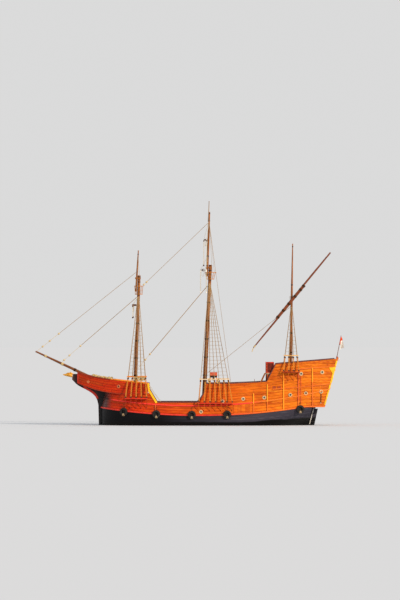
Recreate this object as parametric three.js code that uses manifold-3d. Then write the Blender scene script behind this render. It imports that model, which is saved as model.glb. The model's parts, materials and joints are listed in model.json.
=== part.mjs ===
// A three-masted carrack-type excursion ship, afloat and under bare poles: varnished upper works on a
// black hull, a projecting forecastle, a half deck and a poop, square yards and a lateen yard.
// Millimetres. +X is forward, +Y is port, +Z is up. The origin is on the waterline, amidships.
import * as THREE from "three";
import { mergeVertices } from "three/addons/utils/BufferGeometryUtils.js";
import Module from "manifold-3d";

const wasm = await Module();
wasm.setup();
const { Vector2, Vector3 } = THREE;

const gap = 4; // between pieces that meet
const farSide = 9000; // beyond the ship's side, for cutting prisms
const port = 1;
const starboard = -1;

// Driving sizes of the hull.
const hull = {
  beam: 7000,
  midX: 1500, // widest station
  stemX: 10720, // end of the planking at the stem
  stemRecede: 0.25, // how fast the planking's end moves aft above the wale
  stemHalf: 150,
  sternLength: 14000, // over which the stern narrows
  sternNarrowing: 1100,
  tumblehome: 0.1,
  plank: 160, // wall thickness
  bottomZ: -1950, // underside of the hull body
  keelZ: -2250, // underside of the keel
  keelHalf: 130,
  forefootX: 9250, // centre of the round forefoot
  forefootZ: -450,
  forefootRadius: 1470,
};
const stemKneeZ = 1800; // above this the planking's end moves aft

// Heights along the ship, each a curve of the sheer.
const waleZ = (x) => 1000 + Math.min(900, 7.5e-6 * (x - 500) ** 2);
const upperWaleZ = (x) => 2070 + 8.5e-6 * (x - 1200) ** 2;
const mainDeckZ = (x) => Math.max(1400, waleZ(x) + 120);
const halfDeckZ = (x) => 3400 + 3.5e-6 * x ** 2;
const poopDeckZ = (x) => 5450 + 0.079 * (-6300 - x);
const castleBottomZ = (x) => 3300 + 4.15e-5 * Math.max(0, x - 8200) ** 2;
const castleTopZ = (x) => 4330 + 0.115 * (x - 6000) + 3e-5 * Math.max(0, x - 10000) ** 2;
const castleDeckZ = (x) => castleBottomZ(x) + 280;
const stemLineX = (z) => hull.stemX - hull.stemRecede * Math.max(0, z - stemKneeZ);
const sternpostX = (z) => -10913 - 0.258 * z; // the post's after face
const transomX = (z) => -12490 - 0.2785 * (z - 2030); // the transom's after face
const transomThickness = 180;

const upperStations = [
  10900, 10700, 10450, 10100, 9600, 9000, 8200, 7000, 5500, 3500, 1500, -1500, -4000, -6500, -8500,
  -10500, -12300, -14600,
];
const waleSteps = 24;
const lowerStations = [
  10720, 10550, 10250, 9800, 9200, 8400, 7200, 5500, 3500, 1500, -1000, -3500, -5500, -7000, -8200,
  -9300, -10300, -11500,
];
const castleStations = [5000, 6200, 7200, 8200, 9200, 10200, 11200, 12200, 13300];
const sideLevels = [500, 2000, 3600, 7600]; // heights of the upper loft's rows

// Half breadth of the upper works at a station and height, grown outwards by grow.
function sideHalf(x, z, grow = 0) {
  const stem = stemLineX(z) + 60 + grow;
  const full = hull.beam / 2 + grow;
  const lean = hull.tumblehome * Math.min(1, Math.max(0, (10700 - x) / 6000)) * (z - 1500);
  if (x > hull.midX) {
    const along = Math.min(1, (x - hull.midX) / (stem - hull.midX));
    return Math.max(hull.stemHalf + grow, full * Math.sqrt(1 - along ** 4.2) - lean);
  }
  const aft = (hull.midX - x) / hull.sternLength;
  return full - hull.sternNarrowing * aft ** 2.2 - lean;
}

// Half breadth of the projecting forecastle.
function castleHalf(x, grow = 0) {
  const along = Math.max(0, (x - 5000) / 9000);
  const pointed = 3140 * (1 - along ** 2.3) ** 1.1;
  return Math.max(pointed, x < 6500 ? sideHalf(x, 3300) + 40 : 0) + grow;
}

// How hollow a section of the lower hull is: round amidships, thin at both ends.
function hollowness(x) {
  if (x < -1000) return 0.55 + 11.5 * ((-1000 - x) / 10200) ** 4.5;
  return 0.55 + 0.75 * (Math.max(0, x - 3000) / 7750) ** 2;
}

const v2 = (x, y) => new Vector2(x, y);
const v3 = (x, y, z) => new Vector3(x, y, z);

// A closed geometry as a solid, turned the right way out.
function solid(geometry) {
  const bare = new THREE.BufferGeometry().setAttribute("position", geometry.getAttribute("position"));
  if (geometry.index) bare.setIndex(geometry.index);
  const merged = mergeVertices(bare, 1e-2);
  const build = (triVerts) =>
    new wasm.Manifold(
      new wasm.Mesh({ numProp: 3, vertProperties: merged.attributes.position.array, triVerts }),
    );
  const triVerts = new Uint32Array(merged.index.array);
  const made = build(triVerts);
  if (made.volume() > 0) return made;
  for (let i = 0; i < triVerts.length; i += 3) {
    [triVerts[i + 1], triVerts[i + 2]] = [triVerts[i + 2], triVerts[i + 1]];
  }
  return build(triVerts);
}

const join = (...pieces) => pieces.flat().reduce((sum, piece) => sum.add(piece));
const mirrorY = (made) => made.mirror([0, 1, 0]);

// A block between two corners.
function block(low, high) {
  const size = high.clone().sub(low);
  const middle = low.clone().add(high).multiplyScalar(0.5);
  return solid(new THREE.BoxGeometry(size.x, size.y, size.z).translate(middle.x, middle.y, middle.z));
}

// A round spar from a to b, with its radii equally spaced along it.
function spar(a, b, radii, sides = 12) {
  const length = a.distanceTo(b);
  const steps = radii.map((radius, i) => v2(radius, (length * i) / (radii.length - 1)));
  const profile = [v2(0, 0), ...steps, v2(0, length)];
  const turn = new THREE.Quaternion().setFromUnitVectors(v3(0, 1, 0), b.clone().sub(a).normalize());
  const made = new THREE.LatheGeometry(profile, sides).applyQuaternion(turn);
  return solid(made.translate(a.x, a.y, a.z));
}

// A rope or rod of constant thickness, four-sided unless told otherwise.
const rod = (a, b, radius, sides = 4) => spar(a, b, [radius, radius], sides);

// A ring round a vertical axis, from its section's inner and outer radii and heights.
function ring(centre, inner, outer, low, high, sides = 16) {
  const section = [v2(inner, low), v2(outer, low), v2(outer, high), v2(inner, high), v2(inner, low)];
  return solid(new THREE.LatheGeometry(section, sides).rotateX(Math.PI / 2).translate(...centre));
}

// A tube-section ring whose axis is turned from +Z by the given rotation.
function roundRing(radius, tube, sides, tubeSides, turn) {
  const section = Array.from({ length: tubeSides + 1 }, (_, i) => {
    const angle = (2 * Math.PI * i) / tubeSides;
    return v2(radius + tube * Math.cos(angle), tube * Math.sin(angle));
  });
  return solid(new THREE.LatheGeometry(section, sides).rotateX(Math.PI / 2).applyQuaternion(turn));
}

// A prism whose outline is drawn in side view, in X and Z, between two values of Y.
function sidePrism(outline, fromY, toY) {
  const shape = new THREE.Shape(outline.map(([x, z]) => v2(x, z)));
  const made = new THREE.ExtrudeGeometry(shape, { depth: toY - fromY, bevelEnabled: false });
  return solid(made.rotateX(Math.PI / 2).translate(0, toY, 0));
}

// The part of a solid inside a side-view outline, on one side of the ship or right across it.
function cutBySide(made, outline, side = 0) {
  if (side === port) return made.intersect(sidePrism(outline, gap / 2, farSide));
  if (side === starboard) return made.intersect(sidePrism(outline, -farSide, -gap / 2));
  return made.intersect(sidePrism(outline, -farSide, farSide));
}

// A loft through closed rings that have the same number of points.
function loft(rings) {
  const count = rings[0].length;
  const positions = rings.flat().flatMap((p) => [p.x, p.y, p.z]);
  const faces = [];
  for (let r = 0; r + 1 < rings.length; r++) {
    for (let i = 0; i < count; i++) {
      const [a, b] = [r * count + i, r * count + ((i + 1) % count)];
      const [c, d] = [a + count, b + count];
      // The quads split the other way on the port half, so both sides match.
      if (i < count / 2) faces.push(a, b, c, b, d, c);
      else faces.push(a, b, d, a, d, c);
    }
  }
  const capOf = (section) =>
    THREE.ShapeUtils.triangulateShape(
      section.map((p) => v2(p.y, p.z)),
      [],
    );
  const last = (rings.length - 1) * count;
  for (const [a, b, c] of capOf(rings[0])) faces.push(c, b, a);
  for (const [a, b, c] of capOf(rings.at(-1))) faces.push(a + last, b + last, c + last);
  const made = new THREE.BufferGeometry();
  made.setAttribute("position", new THREE.Float32BufferAttribute(positions, 3));
  return solid(made.setIndex(faces));
}

// A section ring at a station, mirrored from the half section's [halfBreadth, height] rows.
function sectionRing(x, rows) {
  return [
    ...rows.map(([y, z]) => v3(x, -y, z)).reverse(),
    ...rows.map(([y, z]) => v3(x, y, z)),
  ];
}

const upperBody = (grow) =>
  loft(
    upperStations.map((x) =>
      sectionRing(
        x,
        sideLevels.map((z) => [sideHalf(x, z, grow), z]),
      ),
    ),
  );

function lowerBody() {
  const rises = [0, 0.05, 0.12, 0.22, 0.35, 0.5, 0.66, 0.83, 1];
  return loft(
    lowerStations.map((x) => {
      const top = waleZ(x);
      const wide = sideHalf(x, top);
      const rows = rises.map((rise) => [
        hull.keelHalf + (wide - hull.keelHalf) * (1 - (1 - rise) ** 2.2) ** hollowness(x),
        hull.bottomZ + rise * (top - hull.bottomZ),
      ]);
      return sectionRing(x, [...rows, [sideHalf(x, top + 400), top + 400]]);
    }),
  );
}

const castleBody = (grow, lowZ, highZ) =>
  loft(
    castleStations.map((x) =>
      sectionRing(x, [
        [castleHalf(x, grow), lowZ(x)],
        [castleHalf(x, grow), highZ(x)],
      ]),
    ),
  );

// The wale's line at the deck's edge, the same points wherever two pieces meet on it.
const waleLine = (offset) =>
  Array.from({ length: waleSteps + 1 }, (_, i) => {
    const x = -12260 + ((hull.stemX + 12260) * i) / waleSteps;
    return [x, waleZ(x) + offset];
  });

// The points of a height curve between two stations, stepped so that it stays smooth.
function curve(heightAt, fromX, toX, steps = 12) {
  return Array.from({ length: steps + 1 }, (_, i) => {
    const x = fromX + ((toX - fromX) * i) / steps;
    return [x, heightAt(x)];
  });
}

// A side-view strip along a path, from one offset to another on the path's left.
function strip(path, from, to) {
  const offset = (distance) =>
    path.map(([x, z], i) => {
      const before = path[Math.max(0, i - 1)];
      const after = path[Math.min(path.length - 1, i + 1)];
      const along = v2(after[0] - before[0], after[1] - before[1]).normalize();
      return [x - along.y * distance, z + along.x * distance];
    });
  return [...offset(from), ...offset(to).reverse()];
}

const finish = (color, roughness, metalness = 0) =>
  new THREE.MeshStandardMaterial({ color, roughness, metalness });
const finishes = {
  varnish: finish(0xc4560f, 0.35),
  redTrim: finish(0xb5301a, 0.4),
  yellowTrim: finish(0xe0a020, 0.45),
  blackPaint: finish(0x18191b, 0.4),
  darkOak: finish(0x4a2a18, 0.6),
  deckPlank: finish(0xa87b4c, 0.7),
  spar: finish(0x9a5a22, 0.5),
  rope: finish(0x9c8560, 0.85),
  gilt: finish(0xd9a13b, 0.35, 0.6),
  bronze: finish(0xa07a3a, 0.35, 0.9),
  cloth: finish(0xd8d4cc, 0.8),
};

const ship = new THREE.Group();

// Adds a solid to a group as a named mesh.
function add(name, made, material, group = ship) {
  const { vertProperties, triVerts } = made.getMesh();
  const geometry = new THREE.BufferGeometry();
  geometry.setAttribute("position", new THREE.Float32BufferAttribute(vertProperties, 3));
  geometry.setIndex(new THREE.Uint32BufferAttribute(triVerts, 1));
  geometry.computeVertexNormals();
  const mesh = new THREE.Mesh(geometry, material);
  mesh.name = name;
  group.add(mesh);
  return mesh;
}

// A group at a joint, whose pieces are made about the joint's own point.
function pivot(x, y, z) {
  const group = new THREE.Group();
  group.position.set(x, y, z);
  ship.add(group);
  return group;
}

// Shafts and holes shared by the hull and what turns in it.
const rudderAxis = { offset: 75, bearing: 65 };
const rudderAxisX = (z) => sternpostX(z) - rudderAxis.offset;
const propeller = { x: -9900, z: -1100, radius: 560, hub: 110, shaft: 45 };
const aperture = { frontX: -9420, topZ: -430, bottomZ: -1790 };

function addLowerHull() {
  const forefoot = Array.from({ length: 9 }, (_, i) => {
    const angle = (-Math.PI / 2) * (1 - i / 8);
    return [
      hull.forefootX + hull.forefootRadius * Math.cos(angle),
      hull.forefootZ + hull.forefootRadius * Math.sin(angle),
    ];
  });
  const postFront = 260 + gap;
  const outline = [
    ...forefoot,
    ...waleLine(-gap / 2)
      .filter(([x]) => x > -11000)
      .reverse(),
    [sternpostX(1850) + postFront, 1850],
    [sternpostX(hull.bottomZ) + postFront, hull.bottomZ],
  ];
  const opening = [
    [aperture.frontX, aperture.bottomZ],
    [aperture.frontX, aperture.topZ],
    [-12000, aperture.topZ],
    [-12000, aperture.bottomZ],
  ];
  const boreDepth = 500;
  const bore = rod(
    v3(aperture.frontX - 50, 0, propeller.z),
    v3(aperture.frontX + boreDepth, 0, propeller.z),
    propeller.shaft + 12,
    16,
  );
  const body = cutBySide(lowerBody(), outline);
  add("hull_lower", body.subtract(sidePrism(opening, -1500, 1500)).subtract(bore), finishes.blackPaint);

  const keelOutline = [
    [hull.forefootX - gap, hull.keelZ],
    [hull.forefootX - gap, hull.bottomZ - gap],
    [sternpostX(hull.bottomZ) + 200, hull.bottomZ - gap],
    [sternpostX(hull.keelZ) + 200, hull.keelZ],
  ];
  const postTop = 1900 - gap;
  const post = [
    [sternpostX(hull.keelZ), hull.keelZ],
    [sternpostX(hull.keelZ) + 260, hull.keelZ],
    [sternpostX(postTop) + 260, postTop],
    [sternpostX(postTop), postTop],
  ];
  const [keel, sternPost] = [keelOutline, post].map((timber) =>
    sidePrism(timber, -hull.keelHalf, hull.keelHalf),
  );
  add("keel_and_stern_post", join(keel, sternPost), finishes.blackPaint);
}

// The stem timber, with the knee that sweeps forward to carry the forecastle's beak.
function addStem() {
  const outerRadius = hull.forefootZ - hull.keelZ;
  const arc = (radius) =>
    Array.from({ length: 9 }, (_, i) => {
      const angle = (-Math.PI / 2) * (1 - i / 8);
      return [
        hull.forefootX + radius * Math.cos(angle),
        hull.forefootZ + radius * Math.sin(angle),
      ];
    });
  const knee = new THREE.CatmullRomCurve3([
    v3(11110, 0, 2100),
    v3(11330, 0, 2850),
    v3(11900, 0, 3420),
    v3(12700, 0, 3860),
    v3(13300, 0, 4200),
    v3(13850, 0, 4760),
  ])
    .getPoints(12)
    .map((p) => [p.x, p.z]);
  const head = [
    [13750, 5330],
    [13300 + gap, 5330],
  ];
  const underCastle = curve((x) => castleBottomZ(x) - gap, 13300 + gap, stemLineX(3450) + gap, 8);
  const behind = [
    [hull.stemX + gap, stemKneeZ],
    [hull.stemX + gap, hull.forefootZ],
  ];
  const inner = arc(hull.forefootRadius + gap).reverse();
  const outline = [
    ...arc(outerRadius),
    ...knee,
    ...head,
    ...underCastle,
    ...behind,
    ...inner.slice(1),
  ];
  add("stem_and_head_knee", sidePrism(outline, -140, 140), finishes.darkOak);
}

// Top edge of the ship's side, from the bow aft. Steep stretches have points of their own.
const sideTop = [
  [5720, 3300 - gap],
  [5040, 2400],
  [800, 2400],
  [450, 2750],
  [150, 3250],
  [-50, 3800],
  [-150, 4340],
  [-2800, 4360],
  [-5300, 4460],
  [-6430, 4550],
  [-7390, 6380],
  [-13480, 6900],
];

function addSides() {
  const shell = upperBody(0).subtract(upperBody(-hull.plank));
  const inside = transomThickness + gap;
  const bow = curve((x) => castleBottomZ(x) - gap, stemLineX(3450), 8200, 4);
  const outline = [
    ...waleLine(gap / 2),
    ...bow,
    ...sideTop.slice(0, -1),
    [transomX(6890) + inside, 6890],
  ];
  const cap = strip(sideTop.slice(1), -gap - 75, -gap);
  const capShell = upperBody(50).subtract(upperBody(-hull.plank));
  for (const [side, word] of [
    [port, "port"],
    [starboard, "starboard"],
  ]) {
    add(`side_planking_${word}`, cutBySide(shell, outline, side), finishes.varnish);
    add(`cap_rail_${word}`, cutBySide(capShell, cap, side), finishes.darkOak);
  }

  const panel = [
    [transomX(1900), 1900],
    [transomX(1900) + transomThickness, 1900],
    [transomX(7050) + transomThickness, 7050],
    [transomX(7050), 7050],
  ];
  const helmPortHeight = 1900;
  const stern = cutBySide(upperBody(0), panel);
  add("transom", stern.translate(0, 0, gap * (helmPortHeight / 1900)), finishes.varnish);
}

// Wales, riders and the tyre fenders that hang against them, on one side.
function walesOf(side) {
  const waleShell = upperBody(85).subtract(upperBody(gap));
  const sternEnd = (z) => transomX(z) + 30;
  const wales = [
    { path: curve((x) => waleZ(x) + 85, sternEnd(1985), 10640, 24), half: 75 },
    { path: curve(upperWaleZ, sternEnd(3700), 10400, 24), half: 65 },
    { path: curve((x) => 3560 + 4.5e-6 * x ** 2, sternEnd(4300), -7000, 6), half: 45 },
    { path: curve((x) => poopDeckZ(x) + 130, sternEnd(6100), -7600, 6), half: 45 },
  ];
  // Vertical riders: station, foot and head.
  const riders = [
    { x: 5150, foot: 1100, head: 2250 },
    { x: -5030, foot: 1300, head: 3350 },
    { x: -6460, foot: 1450, head: 4300 },
    { x: -8150, foot: 1600, head: 5450 },
    { x: -9670, foot: 1800, head: 5450 },
    { x: -11150, foot: 1950, head: 6010 },
  ];
  const strips = wales.map(({ path, half }) => sidePrism(strip(path, -half, half), 0, farSide));
  const posts = riders.map(({ x, foot, head }) =>
    block(v3(x - 50, 0, foot), v3(x + 50, farSide, head)),
  );
  const lattice = join(strips, posts).intersect(waleShell);
  // Fenders: station and height of the tyre's centre.
  const fenders = [
    { x: 8400, z: 1430 },
    { x: 5050, z: 1200 },
    { x: 1375, z: 1130 },
    { x: -2300, z: 1160 },
    { x: -9880, z: 1700 },
  ];
  const tyre = { radius: 300, tube: 120 };
  const tyres = fenders.map(({ x, z }) => {
    const slope = (sideHalf(x + 200, z) - sideHalf(x - 200, z)) / 400;
    const faceOut = new THREE.Quaternion()
      .setFromAxisAngle(v3(0, 0, 1), Math.atan(slope))
      .multiply(new THREE.Quaternion().setFromAxisAngle(v3(1, 0, 0), Math.PI / 2));
    const made = roundRing(tyre.radius, tyre.tube, 14, 6, faceOut);
    return made.translate(x, sideHalf(x, z) + 85 + tyre.tube * 0.5, z);
  });
  const made = join(lattice, tyres);
  return side === port ? made : mirrorY(made);
}

function addWales() {
  add("wales_and_fenders_port", walesOf(port), finishes.redTrim);
  add("wales_and_fenders_starboard", walesOf(starboard), finishes.redTrim);
}

// Masts: heel and head of each axis, with radii equally spaced along it.
const masts = {
  fore: { heel: v3(7370, 0, 1500), head: v3(6850, 0, 15600), radii: [190, 185, 165, 140] },
  main: { heel: v3(180, 0, 1412), head: v3(-570, 0, 16700), radii: [215, 210, 190, 160] },
  mizzen: { heel: v3(-8870, 0, 3700), head: v3(-9130, 0, 18900), radii: [150, 140, 110, 50] },
};
const topmasts = {
  fore: { heel: v3(7190, 0, 13900), head: v3(6940, 0, 18200), radii: [95, 90, 50] },
  main: { heel: v3(-213, 0, 15480), head: v3(-470, 0, 22200), radii: [115, 110, 75] },
};
const radiusAt = (mast, z) => {
  const place = ((z - mast.heel.z) / (mast.head.z - mast.heel.z)) * (mast.radii.length - 1);
  const i = Math.min(mast.radii.length - 2, Math.floor(place));
  return mast.radii[i] + (mast.radii[i + 1] - mast.radii[i]) * (place - i);
};
const mastAt = (mast, z) => {
  const share = (z - mast.heel.z) / (mast.head.z - mast.heel.z);
  return mast.heel.clone().lerp(mast.head, share);
};

function addDecks() {
  const core = upperBody(-hull.plank - gap);
  const inside = transomThickness + 2 * gap;
  const sternHole = spar(
    v3(rudderAxisX(1500), 0, 1500),
    v3(rudderAxisX(3000), 0, 3000),
    [90, 90],
    16,
  );
  const hatchHole = (mast, z) => {
    const middle = mastAt(mast, z);
    return rod(v3(middle.x, 0, z - 600), v3(middle.x, 0, z + 600), 250, 16);
  };
  const deck = (topAt, thickness, fromX, toX, steps) => [
    ...curve((x) => topAt(x) - thickness(x), fromX, toX, steps),
    ...curve(topAt, toX, fromX, steps),
  ];
  const mainDeck = [
    ...waleLine(gap / 2).slice(0, -1),
    ...waleLine(0)
      .slice(0, -1)
      .map(([x]) => [x, mainDeckZ(x)])
      .reverse(),
  ];
  add("main_deck", cutBySide(core, mainDeck).subtract(sternHole), finishes.deckPlank);

  const halfDeck = deck(halfDeckZ, () => 180, transomX(3800) + inside, -700, 8);
  add("half_deck", cutBySide(core, halfDeck), finishes.deckPlank);

  const poopDeck = deck(poopDeckZ, () => 160, transomX(5850) + inside, -6300, 4);
  const poop = cutBySide(core, poopDeck).subtract(hatchHole(masts.mizzen, 5600));
  add("poop_deck", poop, finishes.deckPlank);
}

// Forecastle: two side panels, the beak's front, the deck and a balustrade aft.
function addForecastle() {
  const panel = 120;
  const frontX = 13300;
  const walls = castleBody(0, castleBottomZ, castleTopZ).subtract(
    castleBody(-panel, (x) => castleBottomZ(x) - 500, (x) => castleTopZ(x) + 500),
  );
  const sides = [
    [5950, 3000],
    [frontX - panel - gap, 3000],
    [frontX - panel - gap, 6500],
    [5950, 6500],
  ];
  add("forecastle_side_port", cutBySide(walls, sides, port), finishes.varnish);
  add("forecastle_side_starboard", cutBySide(walls, sides, starboard), finishes.varnish);
  const front = [
    [frontX - panel, 3000],
    [frontX, 3000],
    [frontX, 6500],
    [frontX - panel, 6500],
  ];
  const beak = cutBySide(castleBody(0, castleBottomZ, castleTopZ), front);
  const bowspritRest = block(v3(13000, -200, 5420), v3(13400, 200, 6000));
  add("beak_front", beak.subtract(bowspritRest), finishes.redTrim);

  const floor = castleBody(-panel - gap, castleBottomZ, castleDeckZ);
  const floorOutline = [
    [5950, 3000],
    [frontX - panel - gap, 3000],
    [frontX - panel - gap, 6500],
    [5950, 6500],
  ];
  const mastHole = rod(
    v3(mastAt(masts.fore, 3500).x, 0, 3000),
    v3(mastAt(masts.fore, 3500).x, 0, 4000),
    260,
    16,
  );
  const deck = cutBySide(floor, floorOutline).subtract(mastHole);
  add("forecastle_deck", deck, finishes.deckPlank);
}

// A bulkhead across the ship with one doorway, and the door that fills it.
const doorway = { half: 400, clear: 8, sill: 25, thickness: 50 };
function addBulkhead({ name, x, floorZ, ceilingZ, doorY, doorHeight, opens }) {
  const core = upperBody(-hull.plank - gap);
  const outline = [
    [x - 50, floorZ + gap],
    [x + 50, floorZ + gap],
    [x + 50, ceilingZ - gap],
    [x - 50, ceilingZ - gap],
  ];
  const hole = block(
    v3(x - 200, doorY - doorway.half, floorZ + doorway.sill),
    v3(x + 200, doorY + doorway.half, floorZ + doorHeight),
  );
  add(`${name}_bulkhead`, cutBySide(core, outline).subtract(hole), finishes.varnish);

  // The hinge stands at the outer face, on the doorway's port edge; the leaf hangs from it to starboard.
  const hinge = pivot(x + opens * 56, doorY + doorway.half - doorway.clear / 2, floorZ);
  const leaf = block(
    v3(opens > 0 ? -60 : 10, -2 * doorway.half + doorway.clear * 1.5, doorway.sill + doorway.clear),
    v3(opens > 0 ? -10 : 60, -doorway.clear / 2, doorHeight - doorway.clear),
  );
  add(`${name}_door`, leaf, finishes.darkOak, hinge);
}

// A balustrade across a deck: posts and a top rail, broken nowhere.
function balustrade(x, halfWidth, deckZ, height, posts) {
  const made = [
    block(v3(x - 45, -halfWidth, deckZ + height - 70), v3(x + 45, halfWidth, deckZ + height)),
    block(v3(x - 35, -halfWidth, deckZ + gap), v3(x + 35, halfWidth, deckZ + 90)),
  ];
  for (let i = 0; i < posts; i++) {
    const y = -halfWidth + 40 + ((2 * halfWidth - 80) * i) / (posts - 1);
    made.push(block(v3(x - 30, y - 30, deckZ + 40), v3(x + 30, y + 30, deckZ + height - 35)));
  }
  return join(made);
}

// Rails that run aft from the poop's balustrade to where the bulwark is high enough.
function poopWings(fromX, deckZ, height) {
  const wing = { y: 2400, toX: -7150, posts: 3 };
  const made = [];
  for (const side of [port, starboard]) {
    const y = side * wing.y;
    made.push(block(v3(wing.toX, y - 40, deckZ + height - 70), v3(fromX, y + 40, deckZ + height)));
    for (let i = 1; i <= wing.posts; i++) {
      const x = fromX + ((wing.toX + 40 - fromX) * i) / wing.posts;
      made.push(block(v3(x - 30, y - 30, poopDeckZ(x) + 8), v3(x + 30, y + 30, deckZ + height - 35)));
    }
  }
  return join(made);
}

// A ship's ladder between two decks, leaning towards the upper one.
function ladder({ footX, footZ, headX, headZ, y, width, treads }) {
  const lean = headX - footX;
  const rise = headZ - footZ;
  const across = 110 * Math.sign(lean);
  const stringer = [
    [footX, footZ],
    [footX + across * 2, footZ],
    [headX, headZ - 90],
    [headX, headZ],
    [headX - across, headZ],
  ];
  const made = [-1, 1].map((side) => {
    const inner = y + side * (width / 2);
    return sidePrism(stringer, Math.min(inner, inner - side * 45), Math.max(inner, inner - side * 45));
  });
  for (let i = 1; i <= treads; i++) {
    const z = footZ + (rise * i) / (treads + 1);
    const x = footX + across * 0.7 + (lean - across) * ((z - footZ) / rise);
    made.push(block(v3(x - 90, y - width / 2 + 5, z - 20), v3(x + 90, y + width / 2 - 5, z + 20)));
  }
  return join(made);
}

function addDeckFittings() {
  addBulkhead({
    name: "forecastle",
    x: 6060,
    floorZ: 1412,
    ceilingZ: 3300,
    doorY: 0,
    doorHeight: 1700,
    opens: -1,
  });
  addBulkhead({
    name: "half_deck",
    x: -800,
    floorZ: 1400,
    ceilingZ: halfDeckZ(-800) - 182,
    doorY: -1500,
    doorHeight: 1650,
    opens: 1,
  });
  addBulkhead({
    name: "poop",
    x: -6500,
    floorZ: halfDeckZ(-6560),
    ceilingZ: poopDeckZ(-6500) - 172,
    doorY: -1300,
    doorHeight: 1500,
    opens: 1,
  });

  const railHeight = 870;
  const rails = [
    { name: "forecastle_rail", x: 6010, half: 3080, z: castleDeckZ(6010), height: 850, posts: 11 },
    { name: "half_deck_rail", x: -760, half: 3000, z: halfDeckZ(-760), height: railHeight, posts: 11 },
    { name: "poop_rail", x: -6360, half: 2720, z: poopDeckZ(-6360), height: 1100, posts: 10 },
  ];
  for (const { name, x, half, z, height, posts } of rails) {
    const across = balustrade(x, half, z, height, posts);
    const made = name === "poop_rail" ? join(across, poopWings(x, z, height)) : across;
    add(name, made, finishes.varnish);
  }

  const ladders = [
    { name: "forecastle_ladder", footX: 4900, footZ: 1404, headX: 5935, headZ: 3560, y: -1700 },
    { name: "half_deck_ladder", footX: 350, footZ: 1404, headX: -685, headZ: 3390, y: 1700 },
    { name: "poop_ladder", footX: -5250, footZ: 3512, headX: -6285, headZ: 5440, y: 1700 },
  ];
  for (const { name, ...size } of ladders) {
    add(name, ladder({ width: 750, treads: 6, ...size }), finishes.varnish);
  }

  // The hatch amidships: a coaming with a grating across it.
  const hatch = { fromX: 1500, toX: 3900, half: 900, height: 320, coaming: 110 };
  const z = 1400 + gap;
  const outer = block(v3(hatch.fromX, -hatch.half, z), v3(hatch.toX, hatch.half, z + hatch.height));
  const well = block(
    v3(hatch.fromX + hatch.coaming, -hatch.half + hatch.coaming, z - 10),
    v3(hatch.toX - hatch.coaming, hatch.half - hatch.coaming, z + hatch.height + 10),
  );
  const bars = Array.from({ length: 7 }, (_, i) => {
    const x = hatch.fromX + ((hatch.toX - hatch.fromX) * (i + 1)) / 8;
    return block(
      v3(x - 45, -hatch.half + 20, z + hatch.height - 90),
      v3(x + 45, hatch.half - 20, z + hatch.height - 20),
    );
  });
  add("waist_hatch", join(outer.subtract(well), bars), finishes.darkOak);

  // The belfry: four posts under a small ridged roof, with the bell hung from a beam across the middle.
  const belfry = { x: -880, y: 1150, half: 325, roofZ: 5180 };
  const roof = new THREE.ExtrudeGeometry(
    new THREE.Shape([v2(-430, 0), v2(430, 0), v2(70, 330), v2(-70, 330)]),
    { depth: 800, bevelEnabled: false },
  )
    .rotateX(Math.PI / 2)
    .rotateZ(Math.PI / 2)
    .translate(belfry.x - 400, belfry.y, belfry.roofZ);
  const belfryFrame = [solid(roof)];
  for (const side of [-1, 1]) {
    const y = belfry.y + side * belfry.half;
    for (const end of [-1, 1]) {
      const x = belfry.x + end * belfry.half;
      belfryFrame.push(
        block(v3(x - 40, y - 40, halfDeckZ(x - 40) + gap), v3(x + 40, y + 40, belfry.roofZ + 20)),
      );
    }
    belfryFrame.push(
      block(
        v3(belfry.x - belfry.half, y - 35, belfry.roofZ - 140),
        v3(belfry.x + belfry.half, y + 35, belfry.roofZ + 20),
      ),
    );
  }
  belfryFrame.push(
    block(
      v3(belfry.x - 40, belfry.y - belfry.half, belfry.roofZ - 140),
      v3(belfry.x + 40, belfry.y + belfry.half, belfry.roofZ - 60),
    ),
  );
  add("belfry", join(belfryFrame), finishes.redTrim);
  const bellProfile = [
    v2(0, 0),
    v2(170, 0),
    v2(150, 60),
    v2(105, 160),
    v2(90, 250),
    v2(40, 280),
    v2(40, 340),
    v2(0, 340),
  ];
  const bellDrop = 60; // from the axis it swings on to its crown
  const bell = new THREE.LatheGeometry(bellProfile, 14)
    .rotateX(Math.PI / 2)
    .translate(0, 0, -bellDrop - 340);
  const bellGroup = pivot(belfry.x, belfry.y, belfry.roofZ - 100);
  add("bell", solid(bell), finishes.bronze, bellGroup);
}

// The bowsprit and the carved beast's head at the end of the beak.
const bowsprit = { heel: v3(9450, 0, 3835), head: v3(17650, 0, 7680) };
function addBow() {
  const made = spar(bowsprit.heel, bowsprit.head, [150, 150, 125, 80]);
  add("bowsprit", made, finishes.spar);

  const neck = spar(v3(13812, 0, 5120), v3(14150, 0, 5230), [150, 190], 10);
  const head = spar(v3(14050, 0, 5225), v3(14420, 0, 5245), [130, 215, 175, 90], 10);
  const beak = spar(v3(14330, 0, 5230), v3(14800, 0, 5260), [95, 20], 8);
  add("figurehead", join(neck, head, beak), finishes.gilt);
}

// A lower mast with its cap, which holds the topmast in front of the masthead.
function lowerMast(mast, capZ, topmastForward) {
  const made = [spar(mast.heel.clone().setZ(mast.heel.z + gap), mast.head, mast.radii)];
  if (topmastForward) {
    const middle = mastAt(mast, capZ);
    const cap = block(
      v3(middle.x - 170, -170, capZ - 90),
      v3(middle.x + topmastForward + 170, 170, capZ + 90),
    );
    const hole = rod(
      v3(middle.x + topmastForward, 0, capZ - 300),
      v3(middle.x + topmastForward, 0, capZ + 300),
      130,
      16,
    );
    made.push(cap.subtract(hole));
  }
  return join(made);
}

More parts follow.
